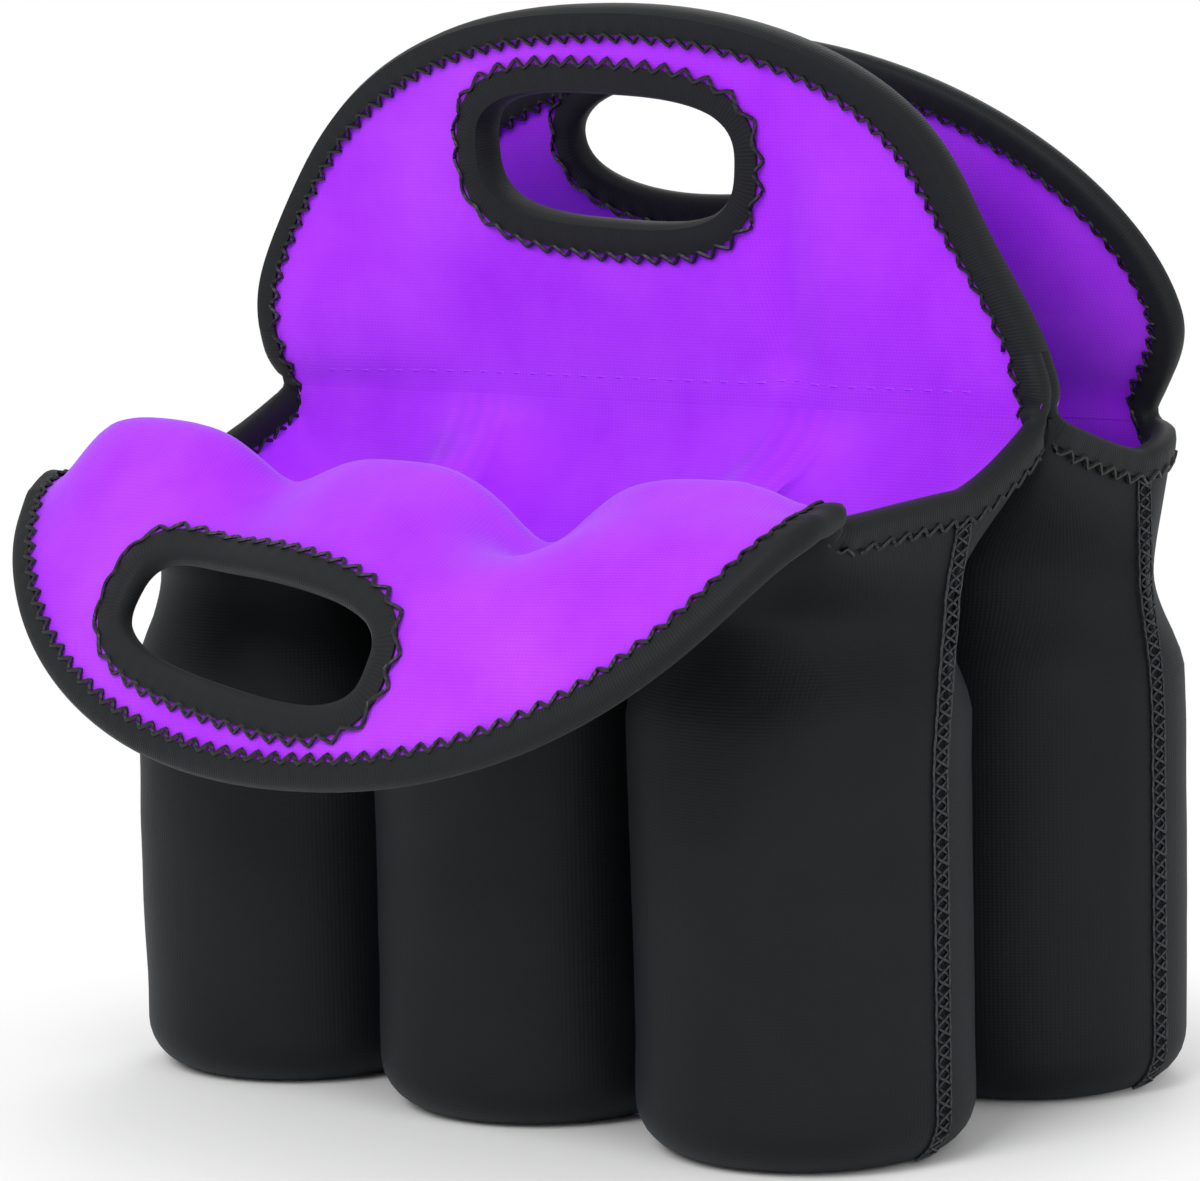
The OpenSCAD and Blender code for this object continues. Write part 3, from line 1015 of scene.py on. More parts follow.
def follow_lean(angle: Callable[[Array], Array], l: Array) -> tuple[Array, Array]:
    """Follow cloth whose lean changes along it.

    Args:
        angle: Takes distances from the root and gives the lean from upright in radians.
        l: Distances from the root.

    Returns:
        Distances out and up from the root.
    """
    # From a little below the root to past the tip, in steps of 0.25 mm
    s = np.linspace(-20, 110, 521)
    step = s[1] - s[0]
    sums = (np.cumsum(way(angle(s))) * step for way in (np.sin, np.cos))
    out, up = (np.interp(l, s, total - np.interp(0, s, total)) for total in sums)
    return out, up


@dataclass
class Flap(SlottedSheet):
    """An outer panel's upper end, with its tape lapped onto its row's mouth."""

    bend: Bend = ((0, 0, 0), (0, 0, 1))
    held: str = "stretched"
    fold_y: float = 0.0

    def run_with(self, row: "SleeveRow") -> Edge:
        """Edge of the flap, lapped onto the mouth of its row at both ends.

        Args:
            row: The row that the flap grows from.

        Returns:
            The edge for the flap's tape.
        """
        own, length = self.edge_place(False)
        right, left = row.mouth_band(Side.RIGHT), row.mouth_band(Side.LEFT)
        # The sheet's normal points forwards, and a mouth's out of its row
        return Edge([(lambda run, e, n: right.at(LAP - run, e, n), LAP),
                     (lambda run, e, n: own(run, e, -row.row.value * n), length),
                     (left.at, LAP)], 0.0, length + 2 * LAP, (LAP, LAP + length))

    def build(self, finishes: Finishes, row: "SleeveRow") -> None:
        """Build and dress the flap.

        Args:
            finishes: The carrier's materials.
            row: The row that the flap grows from.
        """
        name = f"{row.row.name.lower()}_flap"
        # The first face looks back at the root: into the front row, and out of the rear row
        faces = [finishes.violet, finishes.black][:: -row.row.value]
        cloth = self.shell(f"{name}_cloth", 0.0, *faces)
        trim = self.trim(name, FOAM / 2, self.run_with(row), finishes)
        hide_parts(name)
        fasten([cloth, *trim], name, self.bend)
        self.flat_size()
        self.flat_area()


@dataclass
class FrontFlap(Flap):
    """The front flap, which rolls over its crest and hangs down before the sleeves."""

    half_w: float = 111.5
    root_half: float = 105.5
    rise: float = 8.0
    length: float = 88.5
    roundness: float = 2.2
    slot_a: float = -21.5
    slot_from_tip: float = 32.0
    slot_turn: float = 0.19
    slot_half_l: float = 40.0
    slot_half_w: float = 13.2
    bend: Bend = ((0, -0.0525, 0.145), (0, -0.0640, 0.1473))
    held: str = "folded"
    fold_y: float = -52.5
    roll_angle: float = 117.0
    roll_length: float = 12.0
    hang_r: float = 79.0
    hang_angle: float = 186.0
    # The roll's ends: where they start, over what length, and how far they flatten and curl back
    end_a: float = 86.0
    end_run: float = 18.0
    end_flat: float = 0.5
    end_back: float = 0.17
    # A low wave across it, and how far it is drawn to the right as it hangs
    wave: float = 0.5
    drawn: float = 3.0
    drawn_more: float = 3.6
    # Height of the crest, its fall to the right, and its dips as middle, breadth and depth:
    # two between the sleeves and one at each end
    crest_z: float = 144.8
    crest_fall: float = 3.3
    dips: tuple[tuple[float, float, float], ...] = (
        (-36, 15, 8.5), (37, 17, 15.0), (-108, 14, 12.0), (106, 10, 1.5))
    # Height to which the crest evens out down the flap, and its rise to the right
    even_z: float = 136.3
    even_rise: float = 5.0

    def crest(self, x: Array) -> Array:
        """Height of the crest, which falls to the right and dips."""
        dips = sum(depth * hump(x, middle, breadth) for middle, breadth, depth in self.dips)
        return self.crest_z - self.crest_fall * np.tanh((x + 40) / 25) - dips

    def root(self, x: Array) -> Array:
        """Height at which the flap leaves the front panel."""
        return self.crest(x) - self.roll_length / math.radians(self.roll_angle)

    def roll(self, s: Array) -> Array:
        """Lean along the flap: a tight roll, then a wide bend until it hangs.

        Args:
            s: Distances from the root.

        Returns:
            Angles from upright in radians.
        """
        angle = np.where(s < self.roll_length, np.maximum(s, 0) / self.roll_length * self.roll_angle,
                         self.roll_angle + np.degrees((s - self.roll_length) / self.hang_r))
        return np.radians(np.minimum(angle, self.hang_angle))

    def curve(self, a: Array, l: Array) -> Array:
        """Middle of the flap in space.

        Args:
            a: Distances across.
            l: Distances from the root.

        Returns:
            Points in millimetres.
        """
        out, up = follow_lean(self.roll, l)
        # The roll lies flatter towards its ends, where its tape runs on along the mouth
        up = up - self.end_flat * ease((np.abs(a) - self.end_a) / self.end_run) * np.maximum(up, 0)
        at_crest = hump(np.maximum(l - self.roll_length, 0), 0, 20.0)
        z = mix(self.even_z + self.even_rise * a / 100, self.root(a), at_crest) + up
        wave = self.wave * ease((l - 10) / 40) * np.sin(a / 31.0 + 0.8)
        y = self.fold_y - out * (1 - self.end_back * (a / 100) ** 2) - wave
        x = a + (self.drawn + self.drawn_more * l / 60) * ease(l / 30)
        return np.stack([x, y, z], 1)


@dataclass
class RearFlap(Flap):
    """The rear flap, which stands and leans in behind the middle handle."""

    half_w: float = 109.0
    root_half: float = 93.5
    rise: float = 28.0
    length: float = 91.5
    roundness: float = 1.93
    slot_a: float = -10.0
    slot_from_tip: float = 23.5
    slot_power: float = 2.2
    slot_turn: float = 0.0
    slot_half_l: float = 36.0
    bend: Bend = ((0, 0.0783, 0.1446), (0, 0.0699, 0.1558))
    fold_y: float = 77.0
    fold_z: float = 144.6
    lean: float = 38.5
    fold_length: float = 11.0
    bend_r: float = 168.0
    # How far its middle bows back, and a low wave across it
    bow: float = 2.0
    wave: float = 1.5

    def curve(self, a: Array, l: Array) -> Array:
        """Middle of the flap: it leaves the panel upright, bends in and then straightens.

        Args:
            a: Distances across.
            l: Distances from the root.

        Returns:
            Points in millimetres.
        """
        def lean_in(s: Array) -> Array:
            """Lean along the flap."""
            return np.radians(self.lean) * ease(s / self.fold_length) - np.maximum(s, 0) / self.bend_r

        back, up = follow_lean(lean_in, l)
        bow = self.bow * ease(l / 30) * (1 - (a / 112) ** 2)
        wave = self.wave * np.sin(a / 26) * ease(l / 50)
        return np.stack([a, self.fold_y - back + bow - wave, self.fold_z + up], 1)


@dataclass
class MiddleHandle(SlottedSheet):
    """The middle handle: two layers back to back under one binding."""

    half_w: float = 108.6
    root_half: float = 106.6
    rise: float = 4.0
    length: float = 86.0
    roundness: float = 2.25
    slot_a: float = 1.0
    slot_from_tip: float = 32.3
    slot_turn: float = -0.05
    slot_half_l: float = 37.5
    slot_half_w: float = 14.9
    lap: float = 14.0
    root_z: float = 150.0
    bend_r: float = 400.0
    root_thread_r: float = 0.24
    # How far the cloth is hollowed, drawn to the left, creased once, pulled in on its
    # right and pushed out at the foot of its left
    hollow: float = 2.0
    drawn: float = 4.4
    creased: float = 2.6
    pulled: float = 6.8
    pushed: float = 3.9

    def curve(self, a: Array, l: Array) -> Array:
        """Middle between the layers, leaning forwards and drawn a little to the left.

        Args:
            a: Distances across.
            l: Distances from the root.

        Returns:
            Points in millimetres.
        """
        up = ease(l / 45)
        y = ORIGIN_Y - l**2 / (2 * self.bend_r) - self.hollow * up * np.cos(a / 40)
        crease = self.creased * hump(a - 0.25 * l, 41, 6) * ease((60 - l) / 25) * ease(l / 12)
        side = self.pulled * hump(l, 38, 22) * ease(a / 90) * ease(l / 12)
        foot = self.pushed * hump(l, 18, 18) * ease((-a - 40) / 60) * ease(l / 8)
        return np.stack([a - self.drawn * up - side - foot, y + crease - 0.8 * foot, self.root_z + l], 1)

    def beside(self, row: Row, side: Side) -> Placing:
        """Placing of a mouth tape where it climbs the handle's side.

        Args:
            row: Row whose mouth it binds.
            side: End of the row.

        Returns:
            Placing that starts at the handle's root.
        """
        own, length = self.edge_place(False)

        def place(run: Array, e: Array, n: Array) -> Array:
            """Place beside the handle's edge, in the row's own layer."""
            where = run if side is Side.RIGHT else length - run
            return own(where, e, row.value * (n - LAYER_Y))

        return place

    def root_stitches(self, half: float) -> list[Array]:
        """Paths of the stitches that join the two rows, on both faces.

        Args:
            half: Half the thickness of the two layers.

        Returns:
            One path a stitch.
        """
        paths = []
        t, lift = dash(3.2, -0.06)
        for side in (-1, 1):
            for x in np.arange(-92.0, 90.0, STITCH):
                paths.append(self.at(x + t, np.full(len(t), 5.0), side * (half + lift)))
        return paths

    def build(self, finishes: Finishes) -> None:
        """Build and dress the middle handle.

        Args:
            finishes: The carrier's materials.
        """
        half = FOAM + SLACK
        front = self.shell("handle_front_cloth", LAYER_Y, finishes.black, finishes.violet)
        rear = self.shell("handle_rear_cloth", -LAYER_Y, finishes.violet, finishes.black)
        own, length = self.edge_place(False)
        trim = self.trim("handle", half, Edge([(own, length)], self.lap, length - self.lap), finishes)
        root = thread("handle_root_stitches", self.root_stitches(half), self.root_thread_r,
                      finishes.violet_thread)
        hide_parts("handle_front_layer")
        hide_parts("handle_rear_layer")
        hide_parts("handle_root_seam")
        fasten([front, rear, *trim, root], "handle", HANDLE_BEND)
        area = self.flat_area()
        self.flat_size()
        self.flat_size()


@dataclass
class SleevePanel:
    """One panel of a row: half of three sleeves with their floors, up to the mouth.

    A column is (sleeve, angle round it). The row's middle is where its two panels
    meet, bulge is the way in Y that this one swells to, and out is how far its fold
    lies from that middle.
    """

    name: str
    node: str
    row: Row
    bulge: int
    out: float
    seam_lean: float
    straight: float
    seam_h: float
    top: Callable[[Array], Array]
    inner: bool
    seed: float
    per_sleeve: int = 26
    swell: float = 0.35
    swell_z: float = 6.0
    # Humps in the filled cloth, broad and fine ones, as breadth and height
    broad: tuple[float, float] = (26.0, 0.9)
    fine: tuple[float, float] = (11.0, 0.25)
    # Gathers at the shoulder: their depth and how far up and down they reach
    gathers: float = 0.3
    gather_h: float = 14.0
    # Height of the collar on the flat cloth
    collar_l: float = 40.0

    @property
    def middle(self) -> float:
        """Y of the row's middle."""
        return ORIGIN_Y + self.row.value * ROW_Y

    def columns(self) -> tuple[Array, Array]:
        """Columns along the three sleeves.

        Returns:
            Sleeve number and angle in degrees of every column.
        """
        web = math.degrees(math.asin(FOAM / 2 / MID_R))
        ks, angles = [], []
        for k in (-1, 0, 1):
            first = 0.0 if k == -1 else web
            last = 180.0 if k == 1 else 180.0 - web
            angles.append(np.linspace(first, last, self.per_sleeve + 1))
            ks.append(np.full(self.per_sleeve + 1, k))
        return np.concatenate(ks), np.concatenate(angles)

    def mouth(self, k: Array, angle: Array) -> tuple[Array, Array, Array]:
        """Place of the mouth's edge above each column.

        Args:
            k: Sleeve numbers.
            angle: Angles round them in degrees.

        Returns:
            X, distance from the row's middle and height.
        """
        turn = np.radians(90 * np.maximum(0, (k * (angle - 90) + 90 - END_ANGLE) / (180 - END_ANGLE)))
        x0 = k * PITCH - NECK_R * np.cos(np.radians(angle))
        spread = self.straight / (PITCH - NECK_R * math.cos(math.radians(END_ANGLE)))
        x = np.where(turn > 0, k * mix(self.straight, MOUTH_HALF, np.sin(turn)), x0 * spread)
        e = np.cos(turn)
        return x, mix(self.seam_lean, self.out, e), mix(self.seam_h, self.top(x), e**1.3)

    def lean(self, z: Array | float) -> Array | float:
        """Shift in Y of the row's end below its shoulder, towards the handle."""
        return self.seam_lean * ease((np.minimum(z, SHOULDER_Z) - LEAN_Z) / (self.seam_h - LEAN_Z))

    def levels(self) -> Array:
        """Rows up the panel, from the middle of its floors.

        Returns:
            (radius, height, share of the collar) rows.
        """
        flat_r = MID_R - BOTTOM_R
        floor_z = FOAM / 2
        rows = [(r, floor_z, 0.0) for r in np.linspace(0, flat_r, 9)[:-1]]
        for t in np.linspace(0, math.pi / 2, 9):
            rows.append((flat_r + BOTTOM_R * math.sin(t), floor_z + BOTTOM_R * (1 - math.cos(t)), 0.0))
        for low, high, count in ((floor_z + BOTTOM_R, SLEEVE_H, 27), (SLEEVE_H, SHOULDER_Z, 8)):
            rows += [(MID_R, z, 0.0) for z in np.linspace(low, high, count)[1:]]
        rows += [(NECK_R, 0.0, t) for t in np.linspace(0, 1, 17)[1:]]
        return np.array(rows)

    def filled(self, k: Array, angle: Array, r: Array, z: Array, t: Array) -> Array:
        """Place of the filled cloth.

        Args:
            k: Sleeve numbers.
            angle: Angles round them in degrees.
            r: Radii, below the shoulder.
            z: Heights, below the shoulder.
            t: Shares of the way from the shoulder to the mouth.

        Returns:
            Points in millimetres.
        """
        collar = t > 0
        # The cloth swells a little between its shoulder and its floor
        belly = np.sin(np.pi * np.clip((z - self.swell_z) / (SLEEVE_H - self.swell_z), 0, 1))
        belly = belly * (t == 0) * (z > self.swell_z)
        rad = np.radians(angle)
        body_z = np.where(collar, SHOULDER_Z, z)
        draw = ease((body_z - DRAW_Z) / (SHOULDER_Z - DRAW_Z))
        r = np.where(collar, MID_R, r)
        at_end = k * (angle - 90) > 0
        half_x = mix(r, np.where(at_end, END_NECK_R, NECK_R), draw)
        half_y = mix(r, NECK_R, draw) + self.swell * belly * np.sin(rad)
        # Above its shoulder the row's end is pinched to an edge at the side seam
        x = k * PITCH - half_x * np.cos(rad)
        y = half_y * np.sin(rad) ** (1 + draw * at_end)
        y = y + self.lean(body_z) * ease((k * (angle - 90) - 30) / 60)
        mx, my, mz = self.mouth(k, angle)
        up = mix(SHOULDER_Z, mz, t)
        w = ease((up - SHOULDER_Z) / np.maximum(mz - SHOULDER_Z, 1e-6)) * collar
        x, y = mix(x, mx, w), mix(y, my, w)
        z = np.where(collar, up, z)
        points = np.stack([x, y, z], 1)
        # Soft unevenness, none at the rims, where the panels meet
        free = np.sin(rad) ** 0.7 * ease((z - 2) / 20) * ease((mz - z) / 25)
        shift = (rumple(points * [1, 1, 0.45], self.broad[0], self.seed) * self.broad[1]
                 + rumple(points, self.fine[0], self.seed) * self.fine[1])
        gather = self.gathers * hump(z, SHOULDER_Z, self.gather_h) * np.sin(angle / 14.0 + k)
        push = (shift + gather * (not self.inner)) * free
        points[:, 0] -= np.cos(rad) * push
        points[:, 1] += np.sin(rad) * push
        points[:, 1] = self.middle + self.bulge * points[:, 1]
        return points

    def build(self, finishes: Finishes) -> bpy.types.Object:
        """Build the panel.

        Args:
            finishes: The carrier's materials.

        Returns:
            The finished cloth, black outside and violet inside.
        """
        ks, angles = self.columns()
        rows = self.levels()
        nu, nv = len(ks) - 1, len(rows) - 1
        climb = np.diff(rows[:, 1]) * (rows[1:, 2] == 0)
        body = np.concatenate([[0.0], np.cumsum(np.hypot(np.diff(rows[:, 0]), climb))])
        height = body + rows[:, 2] * self.collar_l
        across = (ks * math.pi + np.radians(angles)) * MID_R

        def shape(u: Array, v: Array) -> Array:
            """Place of the filled cloth."""
            i, j = np.round(u * nu).astype(int), np.round(v * nv).astype(int)
            return self.filled(ks[i], angles[i], *rows[j].T)

        def flat(u: Array, v: Array) -> Array:
            """Place on the flat cloth."""
            return np.stack([across[np.round(u * nu).astype(int)], height[np.round(v * nv).astype(int)]], 1)

        obj = grid(self.name, nu, nv, shape, flat)
        self.part_floors(obj)
        obj.data.materials.append(finishes.black)
        obj.data.materials.append(finishes.violet)
        edit(obj, lambda: bpy.ops.mesh.remove_doubles(threshold=2e-5))
        if self.bulge > 0:
            edit(obj, lambda: bpy.ops.mesh.flip_normals())
        thicken(obj, FOAM)
        smooth(obj, 60.0)
        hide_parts(self.node)
        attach(obj, "carrier")
        LOG.info("piece %s on carrier", obj.name)
        return obj

    def part_floors(self, obj: bpy.types.Object) -> None:
        """Delete the faces between the sleeves' rounded floors.

        Args:
            obj: The panel's sheet, before it gets its thickness.
        """
        pick(obj)
        mesh = obj.data
        top = (FOAM / 2 + BOTTOM_R + 0.5) * MM
        bpy.ops.object.mode_set(mode="EDIT")
        bpy.ops.mesh.select_all(action="DESELECT")
        bpy.ops.mesh.select_mode(type="FACE")
        bpy.ops.object.mode_set(mode="OBJECT")
        for face in mesh.polygons:
            c = face.center
            if c.z > top or abs(c.y - self.middle * MM) > 2.6 * MM:
                continue
            # Such a face lies across a valley and is wider than the web between two sleeves
            spread = [abs(mesh.vertices[i].co.x) for i in face.vertices]
            if min(spread) < PITCH / 2 * MM < max(spread) and max(spread) - min(spread) > 3.4 * MM:
                face.select = True
        bpy.ops.object.mode_set(mode="EDIT")
        bpy.ops.mesh.delete(type="FACE")
        bpy.ops.mesh.select_mode(type="VERT")
        bpy.ops.object.mode_set(mode="OBJECT")


@dataclass
class SleeveRow:
    """A row of three sleeves: its two panels, its seams and its mouth tapes."""

    row: Row
    outer: SleevePanel
    inner: SleevePanel

    @classmethod
    def make(cls, row: Row, flap: Flap, top: Callable[[Array], Array], handle: MiddleHandle, lean: float,
             seam_h: float, seeds: tuple[float, float]) -> "SleeveRow":
        """Make a row between its flap and the middle handle.

        Args:
            row: Which row.
            flap: The flap that its outer panel runs on into.
            top: Takes X and gives the height of the outer panel's fold.
            handle: The middle handle, which its inner panel rises to.
            lean: How far its side seams lean towards the handle at their tops.
            seam_h: Height of its side seams.
            seeds: Where the unevenness of the outer and the inner panel starts.

        Returns:
            The row, not built yet.
        """
        name, way = row.name.lower(), row.value
        out = way * (flap.fold_y - ORIGIN_Y) - ROW_Y
        outer = SleevePanel(f"{name}_panel_cloth", f"{name}_panel", row, way, out, -lean, flap.root_half,
                            seam_h, top, False, seeds[0])
        inner = SleevePanel(f"{name}_inner_cloth", f"{name}_inner_panel", row, -way, ROW_Y - LAYER_Y, lean,
                            handle.root_half, seam_h, level(handle.root_z), True, seeds[1])
        return cls(row, outer, inner)

    def side_y(self, lean: float) -> float:
        """Y of a point of the side seam that leans towards the handle."""
        return ORIGIN_Y + self.row.value * (ROW_Y - lean)

    def sew(self, seam: str, paths: list[Array], radius: float,
            material: bpy.types.Material) -> bpy.types.Object:
        """Lay a seam's thread in the place of its CAD node.

        Args:
            seam: Name of the seam in its row.
            paths: The thread's paths.
            radius: Half the thread's thickness.
            material: The thread's material.

        Returns:
            The finished seam.
        """
        name = f"{self.row.name.lower()}_{seam}"
        obj = thread(f"{name}_thread", paths, radius, material)
        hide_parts(name)
        return obj

    def seam_line(self, side: Side) -> Band:
        """Line up the end of the row on the cloth's outer face.

        Args:
            side: Which end.

        Returns:
            Band whose way out is along Y and whose normal is off the wall.
        """
        seam_h = self.outer.seam_h
        stop = 3.0
        pts, normals = [], []
        r = BOTTOM_R + FOAM / 2
        for t in np.linspace(math.radians(62), 0, 12):
            pts.append((PITCH + MID_R + FOAM / 2 - r * (1 - math.cos(t)), 0.0, r * (1 - math.sin(t))))
            normals.append((math.cos(t), 0.0, -math.sin(t)))
        for z in np.linspace(r, seam_h - stop, 60)[1:]:
            draw = float(ease((z - DRAW_Z) / (SHOULDER_Z - DRAW_Z)))
            w = float(ease((z - SHOULDER_Z) / (seam_h - SHOULDER_Z)))
            x = mix(mix(PITCH + MID_R, PITCH + END_NECK_R, draw), MOUTH_HALF, w) + FOAM / 2
            pts.append((x, abs(float(mix(self.outer.lean(z), self.outer.seam_lean, w))), z))
            normals.append((1.0, 0.0, 0.0))
        line = np.array([(side.value * x, self.side_y(lean), z) for x, lean, z in pts])
        return Band(line, np.tile([0.0, 1.0, 0.0], (len(line), 1)), np.array(normals) * [side.value, 1, 1])

    def side_seam(self, side: Side, finishes: Finishes) -> bpy.types.Object:
        """Sew a flat zigzag up one end of the row.

        Args:
            side: Which end.
            finishes: The carrier's materials.

        Returns:
            The finished seam.
        """
        band = self.seam_line(side)
        over, under = 0.42, 0.2
        paths = [zigzag(band.at, 0.0, band.length, (-2.2, over), (2.2, over)),
                 zigzag(band.at, 0.0, band.length, (1.9, under), (-1.9, under))]
        # A straight thread along each side holds the zigzag's points
        run = np.linspace(0, band.length, round(band.length / 1.4))
        for e in (-2.3, 2.3):
            ripple = e + 0.12 * np.cos(run * 2 * math.pi / STITCH)
            paths.append(band.at(run, ripple, np.full(len(run), 0.25)))
        return self.sew(f"{side.name.lower()}_side_seam", paths, SEAM_THREAD_R, finishes.seam_thread)

    def mouth_band(self, side: Side) -> Band:
        """Line along the mouth's edge, from the fold round the seam to the handle.

        Args:
            side: Which end.

        Returns:
            Band along the edge at its middle.
        """
        line, below = [], []
        angles = np.linspace(END_ANGLE, 180, 60)
        rad = np.radians(angles)
        for panel, order in ((self.outer, 1), (self.inner, -1)):
            x, y, z = panel.mouth(np.ones(len(angles)), angles)
            # The same column a little lower gives the way down the cloth
            low = z - 6.0
            w = ease((low - SHOULDER_Z) / (z - SHOULDER_Z))
            bx = mix(PITCH - END_NECK_R * np.cos(rad), x, w)
            by = mix(NECK_R * np.sin(rad) ** 2 + panel.lean(SHOULDER_Z) * ease((angles - 120) / 60), y, w)
            line.append(np.stack([side.value * x, panel.middle + panel.bulge * y, z], 1)[::order])
            below.append(np.stack([side.value * bx, panel.middle + panel.bulge * by, low], 1)[::order])
        rows, lower = (np.concatenate([first, second[1:]]) for first, second in (line, below))
        # Points that all but touch have no way ahead
        keep = np.concatenate([[True], np.linalg.norm(np.diff(rows, axis=0), axis=1) > 0.05])
        rows, lower = rows[keep], lower[keep]
        ahead = unit(np.gradient(rows, axis=0))
        out = rows - lower
        out = unit(out - ahead * np.sum(out * ahead, axis=1, keepdims=True))
        normal = unit(np.cross(ahead, out)) * -side.value * self.row.value
        for _ in range(3):
            for ways in (out, normal):
                ways[1:-1] = unit(ways[:-2] + 2 * ways[1:-1] + ways[2:])
        return Band(rows, out, normal)

    def mouth_tape(self, side: Side, handle: MiddleHandle, finishes: Finishes) -> list[bpy.types.Object]:
        """Bind the mouth at one end of the row, and the foot of the handle beside it.

        Args:
            side: Which end.
            handle: The middle handle, whose side the tape climbs.
            finishes: The carrier's materials.

        Returns:
            The tape and its stitches.
        """
        band = self.mouth_band(side)
        name = f"{self.row.name.lower()}_{side.name.lower()}_mouth"
        half = FOAM / 2
        edge = Edge([(band.at, band.length), (handle.beside(self.row, side), handle.lap)],
                    LAP, band.length + handle.lap, (band.length,))
        binding = tape(f"{name}_binding", edge.place, edge.length, half, TAPE_W, finishes)
        paths = stitch_paths(edge.place, 1.0, edge.length - 2.0, TAPE_W, half)
        stitches = thread(f"{name}_stitches", paths, THREAD_R, finishes.thread)
        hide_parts(f"{name}_tape")
        fasten([binding, stitches], "handle", HANDLE_BEND)
        return [binding, stitches]

    def divider_seams(self, finishes: Finishes) -> bpy.types.Object:
        """Sew down the two valleys between the sleeves, on the face turned outwards.

        Args:
            finishes: The carrier's materials.

        Returns:
            The finished seams.
        """
        paths = []
        t, lift = dash(3.4, 0.3)
        y = self.side_y(-FOAM - SLACK) + self.row.value * lift
        for side in (-1, 1):
            x = np.full(len(t), side * PITCH / 2)
            paths += [np.stack([x, y, z + t], 1) for z in np.arange(16.0, SLEEVE_H - 4, STITCH)]
        return self.sew("divider_seams", paths, 0.32, finishes.thread)

    def floor_seams(self, finishes: Finishes) -> bpy.types.Object:
        """Sew the floors' halves together, inside and underneath.

        Args:
            finishes: The carrier's materials.

        Returns:
            The finished seams.
        """
        paths = []
        half = 20.0
        for k in (-1, 0, 1):
            for z, face, lift in ((FOAM + 0.3, 1.0, 0.1), (0.32, -1.0, 0.0)):
                line = np.array([(k * PITCH + way * half, self.side_y(0.0), z) for way in (-1, 1)])
                band = Band(line, np.array([[0.0, 1.0, 0.0]] * 2), np.array([[0.0, 0.0, face]] * 2))
                paths.append(zigzag(band.at, 0.0, 2 * half, (-2.2, lift), (2.2, lift)))
        return self.sew("floor_seams", paths, SEAM_THREAD_R, finishes.seam_thread)

    def build(self, handle: MiddleHandle, finishes: Finishes) -> None:
        """Build and dress the row.

        Args:
            handle: The middle handle, which the row's mouth runs up to.
            finishes: The carrier's materials.
        """
        outer = self.outer.build(finishes)
        inner = self.inner.build(finishes)
        trim = [self.divider_seams(finishes), self.floor_seams(finishes)]
        trim += [self.side_seam(side, finishes) for side in Side]
        for piece in trim:
            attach(piece, "carrier")
            LOG.info("piece %s on carrier", piece.name)
        for side in Side:
            trim += self.mouth_tape(side, handle, finishes)


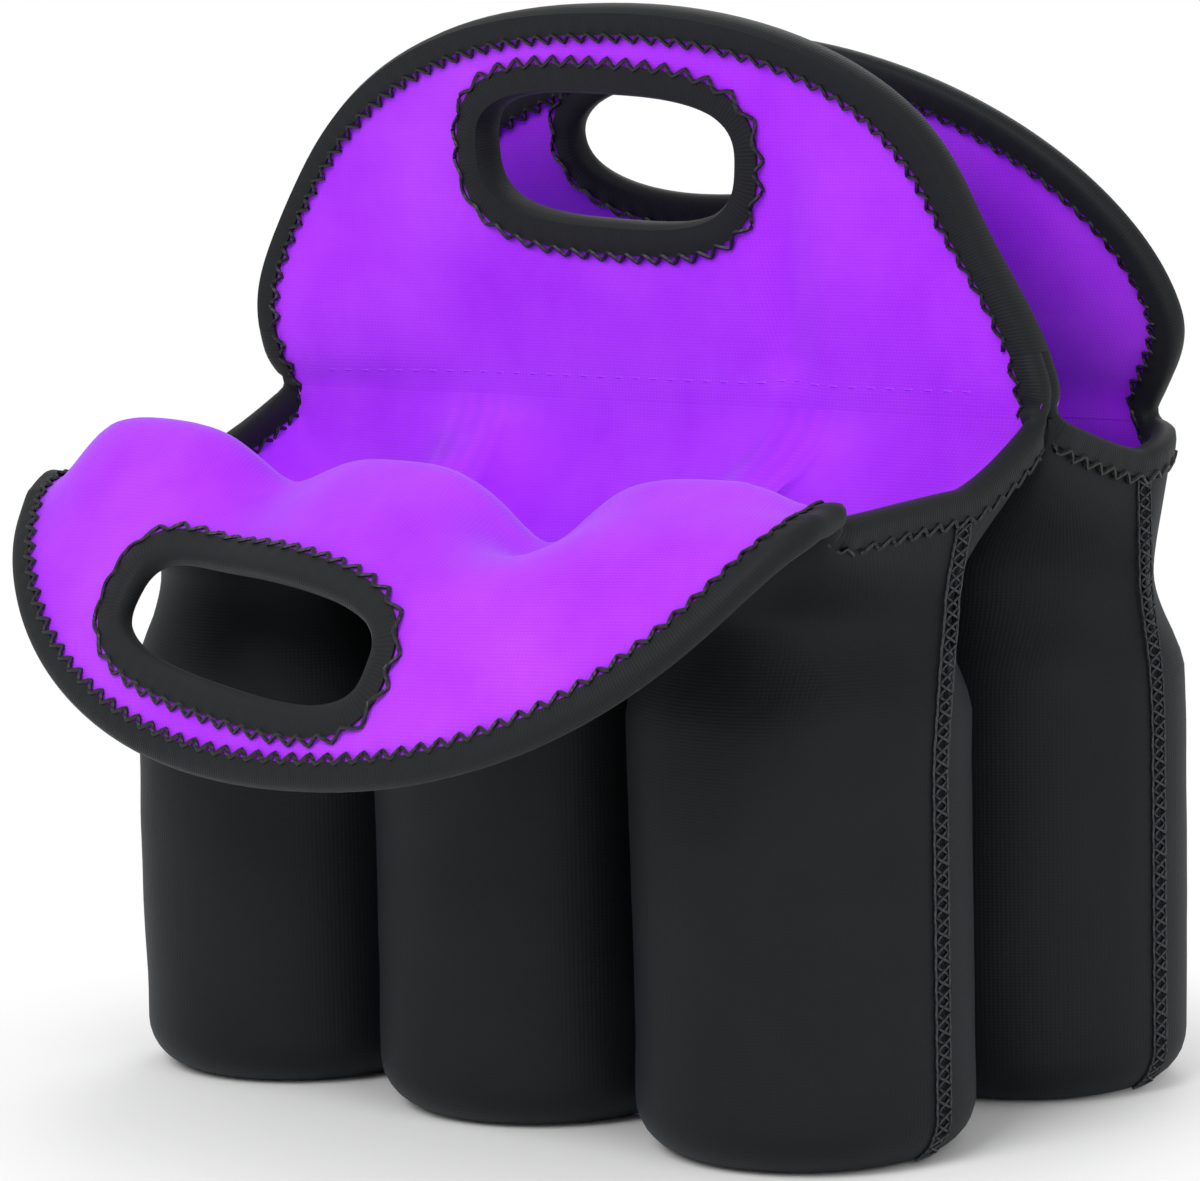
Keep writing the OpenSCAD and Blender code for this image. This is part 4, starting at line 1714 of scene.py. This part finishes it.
@dataclass
class Studio:
    """Camera, lamps, world and floor."""

    lens: float = 140.70
    eye: tuple[float, float, float] = (0.66251, -0.77553, 0.23418)
    azimuth: float = 40.41
    elevation: float = 6.97
    roll: float = -1.18
    aim: tuple[float, float, float] = (0, 0, 0.12)
    ambient: float = 0.62
    # Distances from the carrier's middle at which the floor starts to turn white, and is white
    shade_r: float = 0.10
    white_r: float = 0.19

    def camera(self) -> None:
        """Set the camera at the photograph's angle."""
        az, el, roll = (math.radians(x) for x in (self.azimuth, self.elevation, self.roll))
        ahead = Vector((-math.sin(az) * math.cos(el), math.cos(az) * math.cos(el), -math.sin(el)))
        right = Vector((math.cos(az), math.sin(az), 0.0))
        up = right.cross(ahead)
        across = math.cos(roll) * right + math.sin(roll) * up
        above = -math.sin(roll) * right + math.cos(roll) * up
        data = bpy.data.cameras.new("camera")
        data.sensor_width = 36.0
        data.lens = self.lens
        data.clip_start = 0.05
        obj = bpy.data.objects.new("camera", data)
        turn = Matrix((across, above, -ahead)).transposed().to_4x4()
        obj.matrix_world = Matrix.Translation(self.eye) @ turn
        bpy.context.scene.collection.objects.link(obj)
        bpy.context.scene.camera = obj

    def lamp(self, name: str, place: tuple[float, float, float], size: float, power: float) -> None:
        """Hang a square soft lamp that looks at the carrier.

        Args:
            name: Name of the lamp.
            place: Where it hangs, in metres.
            size: Length of its side in metres.
            power: In watts.
        """
        data = bpy.data.lights.new(name, "AREA")
        data.energy = power
        data.size = size
        obj = bpy.data.objects.new(name, data)
        obj.location = place
        obj.rotation_euler = (Vector(self.aim) - Vector(place)).to_track_quat("-Z", "Y").to_euler()
        bpy.context.scene.collection.objects.link(obj)

    def world(self) -> None:
        """Light all round softly, with a white background."""
        world = bpy.data.worlds.new("studio")
        bpy.context.scene.world = world
        world.use_nodes = True
        tree = world.node_tree
        tree.nodes.clear()
        path = add_node(tree, "ShaderNodeLightPath")
        seen = add_node(tree, "ShaderNodeMath", {0: path.outputs["Is Camera Ray"],
                        1: path.outputs["Is Transmission Ray"]}, operation="MAXIMUM")
        plain = add_node(tree, "ShaderNodeBackground", {"Color": linear(WHITE), "Strength": self.ambient})
        white = add_node(tree, "ShaderNodeBackground", {"Color": linear(WHITE), "Strength": 1.0})
        both = add_node(tree, "ShaderNodeMixShader", {0: seen.outputs[0], 1: plain.outputs[0],
                        2: white.outputs[0]})
        add_node(tree, "ShaderNodeOutputWorld", {"Surface": both.outputs[0]})

    def floor(self) -> None:
        """Lay a pale floor that turns white away from the carrier."""
        deselect()
        bpy.ops.mesh.primitive_plane_add(size=8.0)
        obj = bpy.context.object
        obj.name = "floor"
        # Uncoated paper: near white and without a shine, so that only the carrier's shadow shows
        material, tree, shader = new_material("Matt white paper")
        fill(tree, shader, {"Base Color": linear("#fbfbfb"), "Roughness": 0.9, "Specular IOR Level": 0.1})
        place = add_node(tree, "ShaderNodeTexCoord").outputs["Object"]
        far = add_node(tree, "ShaderNodeVectorMath", {0: place}, operation="LENGTH")
        share = add_node(tree, "ShaderNodeMapRange", {0: far.outputs["Value"], 1: self.shade_r,
                         2: self.white_r}, interpolation_type="SMOOTHSTEP")
        path = add_node(tree, "ShaderNodeLightPath")
        seen = add_node(tree, "ShaderNodeMath", {0: share.outputs[0], 1: path.outputs["Is Camera Ray"]},
                        operation="MULTIPLY")
        white = add_node(tree, "ShaderNodeEmission", {"Color": linear(WHITE), "Strength": 1.0})
        both = add_node(tree, "ShaderNodeMixShader", {0: seen.outputs[0], 1: shader.outputs[0],
                        2: white.outputs[0]})
        fill(tree, tree.nodes["Material Output"], {"Surface": both.outputs[0]})
        obj.data.materials.append(material)

    def build(self) -> None:
        """Set up the studio."""
        self.camera()
        self.world()
        self.floor()
        self.lamp("key", (0.15, -1.35, 1.25), 0.9, 18.0)
        self.lamp("fill", (1.5, -0.5, 0.6), 1.0, 5.5)
        self.lamp("back", (-0.6, 1.2, 1.1), 0.8, 5.0)
        bpy.context.scene.view_settings.view_transform = "Standard"


def main() -> None:
    """Build the carrier in its studio and report each piece."""
    logging.basicConfig(level=logging.INFO, format="%(name)s: %(message)s")
    Studio().build()
    finishes = Finishes.make()
    flap = FrontFlap()
    rear = RearFlap()
    handle = MiddleHandle()
    front_row = SleeveRow.make(Row.FRONT, flap, flap.root, handle, FRONT_LEAN, FRONT_SEAM_H, (3.1, 7.7))
    rear_row = SleeveRow.make(Row.REAR, rear, level(rear.fold_z), handle, REAR_LEAN, REAR_SEAM_H,
                              (12.3, 18.9))
    front_row.build(handle, finishes)
    rear_row.build(handle, finishes)
    flap.build(finishes, front_row)
    rear.build(finishes, rear_row)
    handle.build(finishes)
    deselect()


if __name__ == "__main__":
    main()
